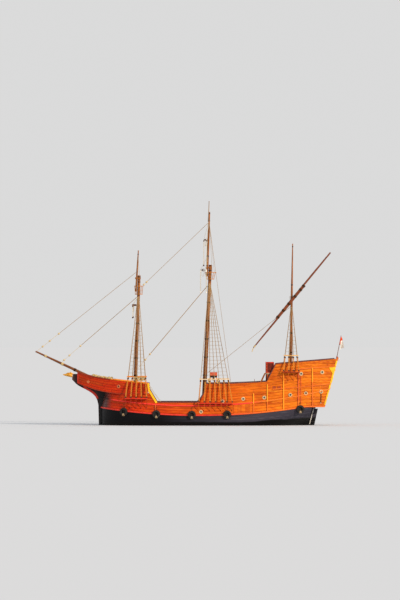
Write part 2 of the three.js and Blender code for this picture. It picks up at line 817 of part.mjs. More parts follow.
// A round top: a floor with holes for both spars, flared posts and a rim.
function roundTop({ floor, rim, floorRadius, rimRadius, holes }) {
  const disc = rod(floor, floor.clone().setZ(floor.z + 60), floorRadius, 20);
  const made = [disc, ring([rim.x, 0, rim.z], rimRadius - 55, rimRadius, -35, 35, 20)];
  const posts = 10;
  for (let i = 0; i < posts; i++) {
    const angle = (2 * Math.PI * (i + 0.5)) / posts;
    const foot = v3(
      floor.x + (floorRadius - 30) * Math.cos(angle),
      (floorRadius - 30) * Math.sin(angle),
      floor.z + 20,
    );
    const head = v3(
      rim.x + (rimRadius - 28) * Math.cos(angle),
      (rimRadius - 28) * Math.sin(angle),
      rim.z,
    );
    made.push(rod(foot, head, 24));
  }
  const cut = holes.map(({ x, radius }) =>
    rod(v3(x, 0, floor.z - 100), v3(x, 0, floor.z + 200), radius, 16),
  );
  return join(made).subtract(join(cut));
}

function addMasts() {
  add("fore_lower_mast", lowerMast(masts.fore, 15300, 248), finishes.spar);
  add("main_lower_mast", lowerMast(masts.main, 16400, 307), finishes.spar);
  add("mizzen_mast", lowerMast(masts.mizzen, 0, 0), finishes.spar);
  const { fore, main } = topmasts;
  add("fore_topmast", spar(fore.heel, fore.head, fore.radii, 10), finishes.spar);
  const flagpole = spar(v3(-350, 0, 21150), v3(-430, 0, 23300), [58, 35], 8);
  add("main_topmast", join(spar(main.heel, main.head, main.radii, 10), flagpole), finishes.spar);

  add(
    "fore_top",
    roundTop({
      floor: v3(6900, 0, 13600),
      rim: v3(6900, 0, 14480),
      floorRadius: 400,
      rimRadius: 490,
      holes: [{ x: mastAt(masts.fore, 13630).x, radius: 165 }],
    }),
    finishes.varnish,
  );
  add(
    "main_top",
    roundTop({
      floor: v3(-560, 0, 15180),
      rim: v3(-600, 0, 15900),
      floorRadius: 400,
      rimRadius: 590,
      holes: [{ x: mastAt(masts.main, 15210).x, radius: 185 }],
    }),
    finishes.varnish,
  );
}

// Yards turn about their mast's axis. Each is made about the point where that axis meets its height,
// and bears on the mast with a hollowed saddle. Braced is the angle in degrees that it stands off square.
const yards = [
  {
    name: "fore_yard",
    mast: masts.fore,
    z: 12500,
    forward: 540,
    half: 4000,
    radii: [50, 105, 50],
    braced: 0,
  },
  {
    name: "main_yard",
    mast: topmasts.main,
    z: 16150,
    forward: 400,
    half: 5000,
    radii: [60, 130, 60],
    braced: 3.5,
  },
  {
    name: "main_topsail_yard",
    mast: topmasts.main,
    z: 19300,
    forward: 330,
    half: 2600,
    radii: [35, 75, 35],
    braced: 3.5,
  },
];

function addYards() {
  for (const { name, mast, z, forward, half, radii, braced } of yards) {
    const point = mastAt(mast, z);
    const group = pivot(point.x, 0, z);
    const bearing = radiusAt(mast, z) + 14;
    const lean = mastAt(mast, z + 1000).x - point.x;
    const saddle = block(v3(0, -radii[1] - 60, -95), v3(forward, radii[1] + 60, 95)).subtract(
      rod(v3(-lean, 0, -1000), v3(lean, 0, 1000), bearing, 20),
    );
    const made = join(spar(v3(forward, -half, 0), v3(forward, half, 0), radii, 10), saddle);
    add(name, made.rotate([0, 0, braced]), finishes.spar, group);
  }
  // The lateen yard: two spars fished together, hung on the mizzen's port side.
  const crossing = v3(-9010, 0, 13240);
  const group = pivot(crossing.x, 0, crossing.z);
  const lower = v3(-5050 - crossing.x, 330, 8070 - crossing.z);
  const upper = v3(-13160 - crossing.x, 330, 17900 - crossing.z);
  const along = (share) => lower.clone().lerp(upper, share);
  const lowerSpar = spar(lower, along(0.66), [60, 95, 105, 85], 10);
  const upperSpar = spar(along(0.3), upper, [85, 105, 100, 75], 10);
  const besideX = 95;
  const lateen = join(lowerSpar, upperSpar.translate(besideX, 0, besideX * 0.8));
  add("lateen_yard", lateen, finishes.spar, group);
}

// One side's shrouds of a mast: a channel on the ship's side, chain plates, shrouds and a sheer pole.
function shroudGang(gang) {
  const { mast, houndsZ, houndsY, channel, shrouds, poleZ, chainFootZ, thickness } = gang;
  const hounds = mastAt(mast, houndsZ);
  const outboard = 640;
  const sideAt = (x, z) => sideHalf(x, z) + gap;
  const plank = sidePrism(
    [
      [channel.fromX, channel.z - 38],
      [channel.toX, channel.z - 38],
      [channel.toX, channel.z + 38],
      [channel.fromX, channel.z + 38],
    ],
    0,
    farSide,
  ).intersect(upperBody(outboard).subtract(upperBody(2 * gap)));
  const made = [plank];
  const top = v3(hounds.x, houndsY + 45, hounds.z);
  const clamp = { low: v3(hounds.x - 120, houndsY, hounds.z - 90), high: v3(120, 95, 180) };
  clamp.high.set(hounds.x + 120, houndsY + 95, hounds.z + 90);
  made.push(block(clamp.low, clamp.high));
  const poleAt = [];
  for (let i = 0; i < shrouds; i++) {
    const x = channel.fromX - 90 + ((channel.toX - channel.fromX + 180) * i) / (shrouds - 1);
    const foot = v3(x, sideAt(x, channel.z) + outboard - 70, channel.z);
    const head = top.clone().setX(top.x + 70 - (140 * i) / (shrouds - 1));
    made.push(rod(foot, head, thickness));
    poleAt.push(foot.clone().lerp(head, (poleZ - channel.z) / (houndsZ - channel.z)));
    const chainFoot = v3(x, sideAt(x, chainFootZ) + 140, chainFootZ);
    made.push(rod(foot, chainFoot, thickness));
  }
  const overhang = poleAt.at(-1).clone().sub(poleAt[0]).setLength(120);
  made.push(rod(poleAt[0].clone().sub(overhang), poleAt.at(-1).clone().add(overhang), thickness * 1.1));
  return join(made);
}

function addShrouds() {
  const gangs = {
    fore: {
      mast: masts.fore,
      houndsZ: 13350,
      houndsY: 168,
      channel: { fromX: 8350, toX: 5950, z: 2800 },
      shrouds: 5,
      poleZ: 5050,
      chainFootZ: 1900,
      thickness: 24,
    },
    main: {
      mast: masts.main,
      houndsZ: 14750,
      houndsY: 190,
      channel: { fromX: 740, toX: -2950, z: 2330 },
      shrouds: 7,
      poleZ: 4800,
      chainFootZ: 1620,
      thickness: 26,
    },
    mizzen: {
      mast: masts.mizzen,
      houndsZ: 12300,
      houndsY: 125,
      channel: { fromX: -8050, toX: -9850, z: 5560 },
      shrouds: 4,
      poleZ: 7250,
      chainFootZ: 4750,
      thickness: 20,
    },
  };
  for (const [word, gang] of Object.entries(gangs)) {
    const made = shroudGang(gang);
    add(`${word}_shrouds_port`, made, finishes.rope);
    add(`${word}_shrouds_starboard`, mirrorY(made), finishes.rope);
  }
}

// Stays: from the lower end to the upper, each end stopping short of its spar.
const stays = [
  { name: "fore_stay", from: v3(14900, 0, 6580), to: v3(7130, 0, 13300), radius: 26 },
  { name: "fore_topmast_stay", from: v3(17450, 0, 7750), to: v3(7195, 0, 15900), radius: 20 },
  { name: "main_stay", from: v3(6985, 0, 5900), to: v3(-250, 0, 14500), radius: 32 },
  { name: "main_topmast_stay", from: v3(6440, 0, 14560), to: v3(-320, 0, 21050), radius: 20 },
];

function addRigging() {
  addShrouds();
  for (const { name, from, to, radius } of stays) {
    add(name, rod(from, to, radius, 6), finishes.rope);
  }
}

// Rudder, hung on the raked stern post, with its stock running up through the counter.
function addRudder() {
  const at = (z, aft) => [rudderAxisX(z) - aft, z];
  const blade = [
    at(1720, 0),
    at(1720, 330),
    at(0, 400),
    at(-500, 480),
    at(-1100, 800),
    at(-2150, 900),
    at(-2150, 0),
  ];
  const plate = sidePrism(blade, -55, 55);
  const axisFoot = v3(rudderAxisX(-2150), 0, -2150);
  const axisHead = v3(rudderAxisX(1720), 0, 1720);
  const stockHead = v3(rudderAxisX(2500), 0, 2500);
  const spine = spar(axisFoot, axisHead, [rudderAxis.bearing, rudderAxis.bearing], 12);
  const stock = spar(axisFoot, stockHead, [58, 58], 12);
  const group = pivot(rudderAxisX(0), 0, 0);
  const made = join(plate, spine, stock).translate(-rudderAxisX(0), 0, 0);
  add("rudder", made, finishes.blackPaint, group);
}

function addPropeller() {
  const { x, z, radius, hub, shaft } = propeller;
  const group = pivot(x, 0, z);
  const made = [
    spar(v3(-190, 0, 0), v3(170, 0, 0), [45, hub, hub, hub * 0.95], 14),
    spar(v3(100, 0, 0), v3(aperture.frontX - x + 300, 0, 0), [shaft, shaft], 12),
  ];
  const outline = new THREE.Shape();
  outline.absellipse(0, (radius + 70) / 2, 165, (radius - 70) / 2, 0, 2 * Math.PI);
  const blades = 4;
  for (let i = 0; i < blades; i++) {
    const plate = new THREE.ExtrudeGeometry(outline, {
      depth: 26,
      bevelEnabled: false,
      curveSegments: 8,
    });
    plate.translate(0, 0, -13).rotateY(Math.PI / 2 - 0.6);
    plate.rotateX((2 * Math.PI * i) / blades);
    made.push(solid(plate));
  }
  add("propeller", join(made), finishes.bronze, group);
}

// Steering wheel on a pedestal, on the half deck before the poop.
function addWheel() {
  const wheel = { x: -5150, z: 4330, radius: 340, rim: 26, handle: 470, spokes: 8, pin: 25 };
  const deck = halfDeckZ(-5620) + gap;
  const pedestal = block(v3(-5620, -130, deck), v3(-5240, 130, wheel.z + 130));
  const bore = rod(v3(-5450, 0, wheel.z), v3(-5200, 0, wheel.z), wheel.pin + 6, 16);
  add("wheel_pedestal", pedestal.subtract(bore), finishes.darkOak);

  const group = pivot(wheel.x, 0, wheel.z);
  const faceForward = new THREE.Quaternion().setFromAxisAngle(v3(0, 1, 0), Math.PI / 2);
  const made = [
    roundRing(wheel.radius, wheel.rim, 24, 6, faceForward),
    spar(v3(-60, 0, 0), v3(60, 0, 0), [75, 75], 12),
    spar(v3(-240, 0, 0), v3(0, 0, 0), [wheel.pin, wheel.pin], 10),
  ];
  for (let i = 0; i < wheel.spokes; i++) {
    const angle = (2 * Math.PI * i) / wheel.spokes;
    const out = v3(0, Math.cos(angle), Math.sin(angle));
    made.push(rod(v3(0, 0, 0), out.multiplyScalar(wheel.handle), 17, 6));
  }
  add("steering_wheel", join(made), finishes.varnish, group);
}

// The ensign staff on the taffrail.
function addStaff() {
  const foot = v3(-13740, 0, 7080);
  const head = v3(-14170, 0, 9300);
  add("ensign_staff", spar(foot, head, [36, 22], 8), finishes.spar);
}

addLowerHull();
addStem();
addSides();
addWales();
addDecks();
addForecastle();
addDeckFittings();
addBow();
addMasts();
addYards();
addRigging();
addRudder();
addPropeller();
addWheel();
addStaff();

export default ship;
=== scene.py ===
import json
from functools import partial
from math import atan2, copysign, cos, hypot, pi, radians, sin, sqrt

import bmesh
import bpy
from mathutils import Matrix, Vector

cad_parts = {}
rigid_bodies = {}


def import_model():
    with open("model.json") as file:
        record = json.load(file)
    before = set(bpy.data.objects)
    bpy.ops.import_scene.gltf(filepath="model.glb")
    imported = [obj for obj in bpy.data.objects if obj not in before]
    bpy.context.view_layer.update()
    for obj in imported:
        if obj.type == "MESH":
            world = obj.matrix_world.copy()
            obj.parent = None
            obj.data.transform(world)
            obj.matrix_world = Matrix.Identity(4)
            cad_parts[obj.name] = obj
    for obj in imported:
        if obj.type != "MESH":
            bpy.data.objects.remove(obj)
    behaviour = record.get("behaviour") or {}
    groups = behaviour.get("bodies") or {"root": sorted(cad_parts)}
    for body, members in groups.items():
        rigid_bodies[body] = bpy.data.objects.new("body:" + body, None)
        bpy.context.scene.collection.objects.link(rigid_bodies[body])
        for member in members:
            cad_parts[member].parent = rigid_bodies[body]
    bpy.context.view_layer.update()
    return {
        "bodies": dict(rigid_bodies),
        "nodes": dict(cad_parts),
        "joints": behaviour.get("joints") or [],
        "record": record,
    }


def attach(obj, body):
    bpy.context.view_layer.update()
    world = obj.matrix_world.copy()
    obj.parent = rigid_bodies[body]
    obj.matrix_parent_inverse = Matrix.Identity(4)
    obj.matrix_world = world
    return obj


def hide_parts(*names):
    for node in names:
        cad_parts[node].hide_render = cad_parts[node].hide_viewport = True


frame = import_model()

# The ship's lines, the same curves as the solids, in metres.
hull = {
    "beam": 7.0,
    "midX": 1.5,
    "stemX": 10.72,
    "stemRecede": 0.25,
    "kneeZ": 1.8,
    "stemHalf": 0.15,
    "sternLength": 14.0,
    "sternNarrowing": 1.1,
    "tumblehome": 0.1,
    "plank": 0.16,
    "bottomZ": -1.95,
    "keelHalf": 0.13,
    "forefoot": (9.25, -0.45, 1.47),  # centre x, centre z, radius
}
port, starboard = 1, -1
sides = {"Port": port, "Starboard": starboard}


def waleZ(x):
    return 1.0 + min(0.9, 0.0075 * (x - 0.5) ** 2)


def upperWaleZ(x):
    return 2.07 + 0.0085 * (x - 1.2) ** 2


def halfDeckZ(x):
    return 3.4 + 0.0035 * x**2


def poopDeckZ(x):
    return 5.45 + 0.079 * (-6.3 - x)


def castleBottomZ(x):
    return 3.3 + 0.0415 * max(0, x - 8.2) ** 2


def castleTopZ(x):
    return 4.33 + 0.115 * (x - 6.0) + 0.03 * max(0, x - 10.0) ** 2


def stemLineX(z):
    return hull["stemX"] - hull["stemRecede"] * max(0, z - hull["kneeZ"])


def sternpostX(z):
    return -10.913 - 0.258 * z


def transomX(z):
    return -12.49 - 0.2785 * (z - 2.03)


def sideHalf(x, z):  # half breadth of the upper works
    stem = stemLineX(z) + 0.06
    full = hull["beam"] / 2
    lean = hull["tumblehome"] * min(1, max(0, (10.7 - x) / 6)) * (z - 1.5)
    if x > hull["midX"]:
        along = min(1, (x - hull["midX"]) / (stem - hull["midX"]))
        return max(hull["stemHalf"], full * sqrt(1 - along**4.2) - lean)
    aft = (hull["midX"] - x) / hull["sternLength"]
    return full - hull["sternNarrowing"] * aft**2.2 - lean


def castleHalf(x):  # half breadth of the projecting forecastle
    along = max(0, (x - 5) / 9)
    pointed = 3.14 * (1 - along**2.3) ** 1.1
    return max(pointed, sideHalf(x, 3.3) + 0.04 if x < 6.5 else 0)


def spread(start, end, count):  # evenly spaced values, both ends included
    return [start + (end - start) * i / (count - 1) for i in range(count)]


def byColumn(table):  # one dictionary for each column of a table
    return [dict(zip(table, column)) for column in zip(*table.values())]


# Meshes. A shape is points, faces and UVs, until it is made a Blender mesh.

upright = Vector((0, 0, 1))


def newShape():
    return {"verts": [], "faces": [], "uvs": []}


def addFace(shape, corners, uvs=None):
    shape["faces"].append(corners)
    shape["uvs"].append(uvs or [(0, 0)] * len(corners))


def circle(radius, count):
    turns = [2 * pi * k / count for k in range(count)]
    return [(radius * cos(turn), radius * sin(turn)) for turn in turns]


def addRings(shape, rings, lengths=None, loop=False):  # a skin over rings of points, capped or a loop
    start, count = len(shape["verts"]), len(rings[0])
    for ring in rings:
        shape["verts"] += [tuple(point) for point in ring]
    for r in range(len(rings) - (0 if loop else 1)):
        low, high = start + r * count, start + (r + 1) % len(rings) * count
        for i in range(count):
            j, uvs = (i + 1) % count, None
            if lengths:
                u, w = i / count, (i + 1) / count
                uvs = [(u, lengths[r]), (w, lengths[r]), (w, lengths[r + 1]), (u, lengths[r + 1])]
            addFace(shape, (low + i, low + j, high + j, high + i), uvs)
    if not loop:
        last = start + (len(rings) - 1) * count
        addFace(shape, tuple(range(start + count - 1, start - 1, -1)))
        addFace(shape, tuple(range(last, last + count)))


def addTube(shape, points, radii, sides=8):
    points = [Vector(p) for p in points]
    if isinstance(radii, (int, float)):
        radii = [radii] * len(points)
    first = (points[1] - points[0]).normalized()
    normal = first.cross(upright if abs(first.z) < 0.9 else Vector((1, 0, 0)))
    rings, lengths = [], [0]
    for before, after in zip(points, points[1:]):
        lengths.append(lengths[-1] + (after - before).length)
    for i, point in enumerate(points):
        along = (points[min(len(points) - 1, i + 1)] - points[max(0, i - 1)]).normalized()
        normal = (normal - along * normal.dot(along)).normalized()
        across = along.cross(normal)
        rings.append([point + normal * c + across * s for c, s in circle(radii[i], sides)])
    addRings(shape, rings, lengths)


def addSpar(shape, a, b, radii, sides=24, steps=3):  # a tapered stick, radii equally spaced
    a, b = Vector(a), Vector(b)
    count = (len(radii) - 1) * steps + 1
    points = [a.lerp(b, i / (count - 1)) for i in range(count)]
    sizes = []
    for i in range(count):
        place = i / steps
        k = min(len(radii) - 2, int(place))
        sizes.append(radii[k] + (radii[k + 1] - radii[k]) * (place - k))
    addTube(shape, points, sizes, sides)


def addBlock(shape, low, high, chamfer=0.0):  # its upright edges taken off where asked
    (x0, y0, z0), (x1, y1, z1) = low, high
    c = chamfer
    outline = [(x0 + c, y0), (x1 - c, y0), (x1, y0 + c), (x1, y1 - c)]
    outline += [(x1 - c, y1), (x0 + c, y1), (x0, y1 - c), (x0, y0 + c)]
    if not c:
        outline = [(x0, y0), (x1, y0), (x1, y1), (x0, y1)]
    addRings(shape, [[(x, y, z0) for x, y in outline], [(x, y, z1) for x, y in outline]])


def turnedRings(profile, centre, axis, sides):  # a ring for each (radius, height along the axis)
    turn, centre = upright.rotation_difference(Vector(axis).normalized()), Vector(centre)
    rings = [[(x, y, height) for x, y in circle(radius, sides)] for radius, height in profile]
    return [[centre + turn @ Vector(point) for point in ring] for ring in rings]


def addLathe(shape, profile, centre, axis, sides=24):
    addRings(shape, turnedRings(profile, centre, axis, sides))


def addHoop(shape, profile, centre, axis, sides=32):  # a ring whose profile closes on itself
    addRings(shape, [*zip(*turnedRings(profile, centre, axis, sides))], loop=True)


def roundProfile(radius, tube, count=8):
    return [(radius + x, y) for x, y in circle(tube, count)]


def toMesh(name, shape):
    mesh = bpy.data.meshes.new(name)
    mesh.from_pydata(shape["verts"], [], shape["faces"])
    layer = mesh.uv_layers.new(name="UVMap")
    flat = [value for uvs in shape["uvs"] for uv in uvs for value in uv]
    layer.data.foreach_set("uv", flat)
    return mesh


def tidyNormals(mesh):
    work = bmesh.new()
    work.from_mesh(mesh)
    bmesh.ops.recalc_face_normals(work, faces=work.faces)
    work.to_mesh(mesh)
    work.free()


def newObject(name, data):
    made = bpy.data.objects.new(name, data)
    bpy.context.scene.collection.objects.link(made)
    return made


def finalMesh(piece):  # its mesh with every modifier applied
    bpy.context.view_layer.update()
    depsgraph = bpy.context.evaluated_depsgraph_get()
    return bpy.data.meshes.new_from_object(piece.evaluated_get(depsgraph))


def putPiece(name, shape, material, body="hull", stands=(), crease=35, bevel=0):
    mesh = shape if isinstance(shape, bpy.types.Mesh) else toMesh(name, shape)
    mesh.name = name
    tidyNormals(mesh)
    mesh.materials.clear()
    mesh.materials.append(material)
    mesh.polygons.foreach_set("material_index", [0] * len(mesh.polygons))
    mesh.shade_smooth()
    mesh.set_sharp_from_angle(angle=radians(crease))
    piece = newObject(name, mesh)
    if bevel:
        edge = piece.modifiers.new("Bevel", "BEVEL")
        edge.width = bevel
        edge.segments = 2
        edge.limit_method = "ANGLE"
        edge.harden_normals = False
    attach(piece, body)
    if stands:
        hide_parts(*([stands] if isinstance(stands, str) else stands))
    return piece


def cutMesh(shape, cutters):  # cutters: (shape, operation) one after another
    blank = newObject("blank", toMesh("blank", shape))
    tidyNormals(blank.data)
    tools = []
    for cutter, operation in cutters:
        tools.append(newObject("tool", toMesh("tool", cutter)))
        tidyNormals(tools[-1].data)
        cut = blank.modifiers.new("Cut", "BOOLEAN")
        cut.operation = operation
        cut.solver = "EXACT"
        cut.object = tools[-1]
    made = finalMesh(blank)
    for used in [blank, *tools]:
        bpy.data.objects.remove(used)
    return made


def sidePrism(outline, fromY, toY):  # an outline in X and Z
    shape = newShape()
    addRings(shape, [[(x, fromY, z) for x, z in outline], [(x, toY, z) for x, z in outline]])
    return shape


# Geometry nodes for what repeats


def addNode(tree, kind, inputs=None, output=0, stops=None, **settings):
    node = tree.nodes.new(kind)
    for key, value in settings.items():
        setattr(node, key, value)
    for key, value in (inputs or {}).items():
        if isinstance(value, bpy.types.NodeSocket):
            tree.links.new(value, node.inputs[key])
        elif isinstance(value, str) and value.startswith("#"):
            node.inputs[key].default_value = toLinear(value)
        else:
            node.inputs[key].default_value = value
    for place, colour in stops or []:
        node.color_ramp.elements.new(place).color = toLinear(colour)
    if stops:
        node.color_ramp.elements.remove(node.color_ramp.elements[0])
        node.color_ramp.elements.remove(node.color_ramp.elements[-1])
    return node if output is None or not node.outputs else node.outputs[output]


def newTree(name, sockets):
    tree = bpy.data.node_groups.new(name, "GeometryNodeTree")
    tree.is_modifier = True
    for label, kind, value in [("Geometry", "Geometry", None), *sockets]:
        socket = tree.interface.new_socket(label, in_out="INPUT", socket_type="NodeSocket" + kind)
        if value is not None:
            socket.default_value = value
    tree.interface.new_socket("Geometry", in_out="OUTPUT", socket_type="NodeSocketGeometry")
    return tree, partial(addNode, tree), tree.nodes.new("NodeGroupInput").outputs


def endTree(tree, geometry, material):
    real = addNode(tree, "GeometryNodeRealizeInstances", {"Geometry": geometry})
    last = addNode(tree, "GeometryNodeSetMaterial", {"Geometry": real, "Material": material})
    addNode(tree, "NodeGroupOutput", {"Geometry": last})
    return tree


def makeRopeTree():  # every edge of the base mesh becomes a rope
    sockets = [("Rope Radius", "Float", 0.01), ("Sides", "Int", 6), ("Material", "Material", None)]
    tree, add, given = newTree("RopesOnEdges", sockets)
    lines = add("GeometryNodeMeshToCurve", {"Mesh": given["Geometry"]})
    sizes = {"Resolution": given["Sides"], "Radius": given["Rope Radius"]}
    ring = add("GeometryNodeCurvePrimitiveCircle", sizes)
    ropes = add("GeometryNodeCurveToMesh", {"Curve": lines, "Profile Curve": ring, "Fill Caps": True})
    return endTree(tree, ropes, given["Material"])


def makeCopyTree():  # a copy of one shape at every point, turned and sized by the point's attributes
    sockets = [("Copy", "Object", None), ("Size Spread", "Float", 0.0), ("Seed", "Int", 5)]
    tree, add, given = newTree("CopiesOnPoints", [*sockets, ("Material", "Material", None)])
    source = add("GeometryNodeObjectInfo", {"Object": given["Copy"]}, "Geometry")
    turn, size = [
        add("GeometryNodeInputNamedAttribute", {"Name": name}, "Attribute", data_type="FLOAT_VECTOR")
        for name in ("turn", "size")
    ]
    rotation = add("FunctionNodeEulerToRotation", {"Euler": turn})
    least, most = [
        add("ShaderNodeMath", {0: 1.0, 1: given["Size Spread"]}, operation=kind)
        for kind in ("SUBTRACT", "ADD")
    ]
    limits = {2: least, 3: most, "Seed": given["Seed"]}
    chance = add("FunctionNodeRandomValue", limits, 1, data_type="FLOAT")
    scale = add("ShaderNodeVectorMath", {0: size, "Scale": chance}, operation="SCALE")
    points = add("GeometryNodeMeshToPoints", {"Mesh": given["Geometry"]})
    places = {"Points": points, "Instance": source, "Rotation": rotation, "Scale": scale}
    return endTree(tree, add("GeometryNodeInstanceOnPoints", places), given["Material"])


ropeTree = makeRopeTree()
copyTree = makeCopyTree()


def growMesh(tree, base, values):
    holder = newObject("holder", base)
    grow = holder.modifiers.new("Grow", "NODES")
    grow.node_group = tree
    for item in tree.interface.items_tree:
        if item.item_type == "SOCKET" and item.in_out == "INPUT" and item.name in values:
            grow[item.identifier] = values[item.name]
    made = finalMesh(holder)
    bpy.data.objects.remove(holder)
    return made


def ropesOn(edges, radius, material, sides=6):  # edges: pairs of points
    base = bpy.data.meshes.new("lines")
    points = [tuple(point) for edge in edges for point in edge]
    base.from_pydata(points, [(2 * i, 2 * i + 1) for i in range(len(edges))], [])
    return growMesh(ropeTree, base, {"Rope Radius": radius, "Sides": sides, "Material": material})


def copiesAt(shape, places, material, sizeSpread=0.0):  # places: (point, (rx, ry, rz), size)
    model = newObject("model", toMesh("model", shape))
    points, turns, sizes = zip(*places)
    sizes = [size if isinstance(size, tuple) else (size,) * 3 for size in sizes]
    base = bpy.data.meshes.new("points")
    base.from_pydata([tuple(point) for point in points], [], [])
    for name, triples in (("turn", turns), ("size", sizes)):
        layer = base.attributes.new(name, "FLOAT_VECTOR", "POINT")
        layer.data.foreach_set("vector", [value for triple in triples for value in triple])
    values = {"Copy": model, "Size Spread": sizeSpread, "Material": material}
    made = growMesh(copyTree, base, values)
    bpy.data.objects.remove(model)
    return made


# Materials


def toLinear(code):
    values = [int(code[i : i + 2], 16) / 255 for i in (1, 3, 5)]
    return [*(v / 12.92 if v < 0.04045 else ((v + 0.055) / 1.055) ** 2.4 for v in values), 1]


def newMaterial(name, colour, roughness, metallic=0.0, coat=0.0, specular=0.4):
    material = bpy.data.materials.new(name)
    material.use_nodes = True
    inputs = material.node_tree.nodes["Principled BSDF"].inputs
    inputs["Base Color"].default_value = toLinear(colour)
    inputs["Roughness"].default_value = roughness
    inputs["Metallic"].default_value = metallic
    if not metallic:
        inputs["IOR"].default_value = 1.5
        inputs["Specular IOR Level"].default_value = specular
    inputs["Coat Weight"].default_value = coat
    inputs["Coat Roughness"].default_value = 0.18
    return material, partial(addNode, material.node_tree)


def cloudy(add, stretch, detail=4.0, kind="Object"):  # soft noise, stretched to follow the grain
    source = add("ShaderNodeTexCoord", output=kind)
    mapped = add("ShaderNodeMapping", {"Vector": source, "Scale": stretch})
    return add("ShaderNodeTexNoise", {"Vector": mapped, "Scale": 1.0, "Detail": detail})


def cover(material, colour, layers, height, distance, roughness=None):
    tree, inputs = material.node_tree, material.node_tree.nodes["Principled BSDF"].inputs
    for factor, over, *blend in layers:  # each layer: how much, what colour, and how it blends
        values = {0: factor, 6: colour, 7: over}
        how = blend[0] if blend else "MIX"
        colour = addNode(tree, "ShaderNodeMix", values, 2, data_type="RGBA", blend_type=how)
    tree.links.new(colour, inputs["Base Color"])
    if roughness is not None:
        tree.links.new(roughness, inputs["Roughness"])
    bump = addNode(tree, "ShaderNodeBump", {"Height": height, "Distance": distance})
    tree.links.new(bump, inputs["Normal"])


strakes = {"pitch": 0.29, "groove": 0.009, "lip": 0.006, "board": 4.4, "castleRow": 30, "innerRow": 100}


# Larch boards under amber varnish: every board has its own tone and a thin caulked seam. The colour runs
# from a sunlit stern colour to a darker bow colour, which is painted light and shade along the ship, and
# the gold streaks in the grain are painted highlights that weaken towards the bow. Strakes read their lay
# from the
# UV map, where rows past 60 are the bulwarks' inner faces, painted dark brown as shade. Other boards are
# laid upright or level.
def makeLarch(name, stern, bow, fleck, streak, lay="strakes", width=0.29):
    material, add = newMaterial(name, stern, 0.42, coat=0.05, specular=0.12)
    source = add("ShaderNodeTexCoord", output=None).outputs
    place = add("ShaderNodeSeparateXYZ", {0: source["Object"]}, None).outputs
    if lay == "strakes":
        bowTurnShade = add("ShaderNodeMapRange", {0: place[0], 1: 9.7, 2: 10.25, 4: 0.9})
        uv = add("ShaderNodeSeparateXYZ", {0: source["UV"]}, None).outputs
        run, row, stretch = uv[0], uv[1], (1.1, 14, 42)
    else:
        run, across = (place[2], place[1]) if lay == "upright" else (place[1], place[2])
        stretch = (14, 42, 1.1) if lay == "upright" else (14, 1.1, 42)
        row = add("ShaderNodeMath", {0: across, 1: width}, operation="DIVIDE")
    index = add("ShaderNodeMath", {0: row}, operation="FLOOR")
    shift = add("ShaderNodeMath", {0: index, 1: 0.393}, operation="MULTIPLY")
    boards = add("ShaderNodeMath", {0: run, 1: 1 / strakes["board"], 2: shift}, operation="MULTIPLY_ADD")
    whole = add("ShaderNodeMath", {0: boards}, operation="FLOOR")
    cell = add("ShaderNodeCombineXYZ", {0: index, 1: whole, 2: 3.0})
    tone = add("ShaderNodeTexWhiteNoise", {0: cell}, noise_dimensions="3D")
    tone = add("ShaderNodeMapRange", {0: tone, 1: 0.35, 2: 1.0, 4: 0.6})
    fibres = cloudy(add, stretch, 6)
    weather = cloudy(add, (0.5, 0.5, 1.6), 3)
    # forward runs from the stern to the bow: painted light and shade, the sunlit stern colour turning to
    # the shaded bow colour
    forward = add("ShaderNodeMapRange", {0: place[0], 1: -9.0, 2: 7.5})
    # grainHighlight: painted highlights on the gold grain streaks, weaker towards the shaded bow
    grainHighlight = add("ShaderNodeMapRange", {0: fibres, 1: 0.52, 2: 0.68, 4: 0.75})
    fade = add("ShaderNodeMapRange", {0: forward, 3: 1.0, 4: 0.25})
    grainHighlight = add("ShaderNodeMath", {0: grainHighlight, 1: fade}, operation="MULTIPLY")
    shade = add("ShaderNodeValToRGB", {0: fibres}, stops=[(0.34, "#a07b68"), (0.5, "#ffffff")])
    stain = add("ShaderNodeValToRGB", {0: weather}, stops=[(0.35, "#c09a88"), (0.55, "#ffffff")])
    # rows past 60 are the bulwarks' inner faces, painted dark brown as shade
    inside = add("ShaderNodeMath", {0: row, 1: 60.0}, operation="GREATER_THAN")
    edge, end = [add("ShaderNodeMath", {0: part}, operation="FRACT") for part in (row, boards)]
    edge, end = [add("ShaderNodeMath", {0: part, 1: 0.5}, operation="PINGPONG") for part in (edge, end)]
    end = add("ShaderNodeMath", {0: end, 1: strakes["board"] / width}, operation="MULTIPLY")
    seam = add("ShaderNodeMath", {0: edge, 1: end}, operation="MINIMUM")
    line = add("ShaderNodeMapRange", {0: seam, 1: 0.02, 2: 0.06, 3: 0.45})
    caulk = add("ShaderNodeCombineColor", {0: line, 1: line, 2: line})
    dull = add("ShaderNodeMapRange", {0: weather, 1: 0.3, 2: 0.7, 3: 0.32, 4: 0.55})
    height = add("ShaderNodeMath", {0: fibres, 1: 0.15, 2: line}, operation="MULTIPLY_ADD")
    layers = [
        (forward, bow),
        (tone, fleck),
        (grainHighlight, streak),
        (0.65, shade, "MULTIPLY"),
        (0.45, stain, "MULTIPLY"),
        (inside, "#5c3024"),
        (1.0, caulk, "MULTIPLY"),
    ]
    if lay == "strakes":  # the hull's strakes turn dark grey where they meet the stem, painted shade with a grey painted sky reflection on the bow's turn; the forecastle's do not
        low = add("ShaderNodeMath", {0: row, 1: strakes["castleRow"] - 1}, operation="LESS_THAN")
        bowTurnShade = add("ShaderNodeMath", {0: bowTurnShade, 1: low}, operation="MULTIPLY")
        layers.insert(5, (bowTurnShade, "#4f3b38"))
    cover(material, stern, layers, height, 0.008, dull)
    return material


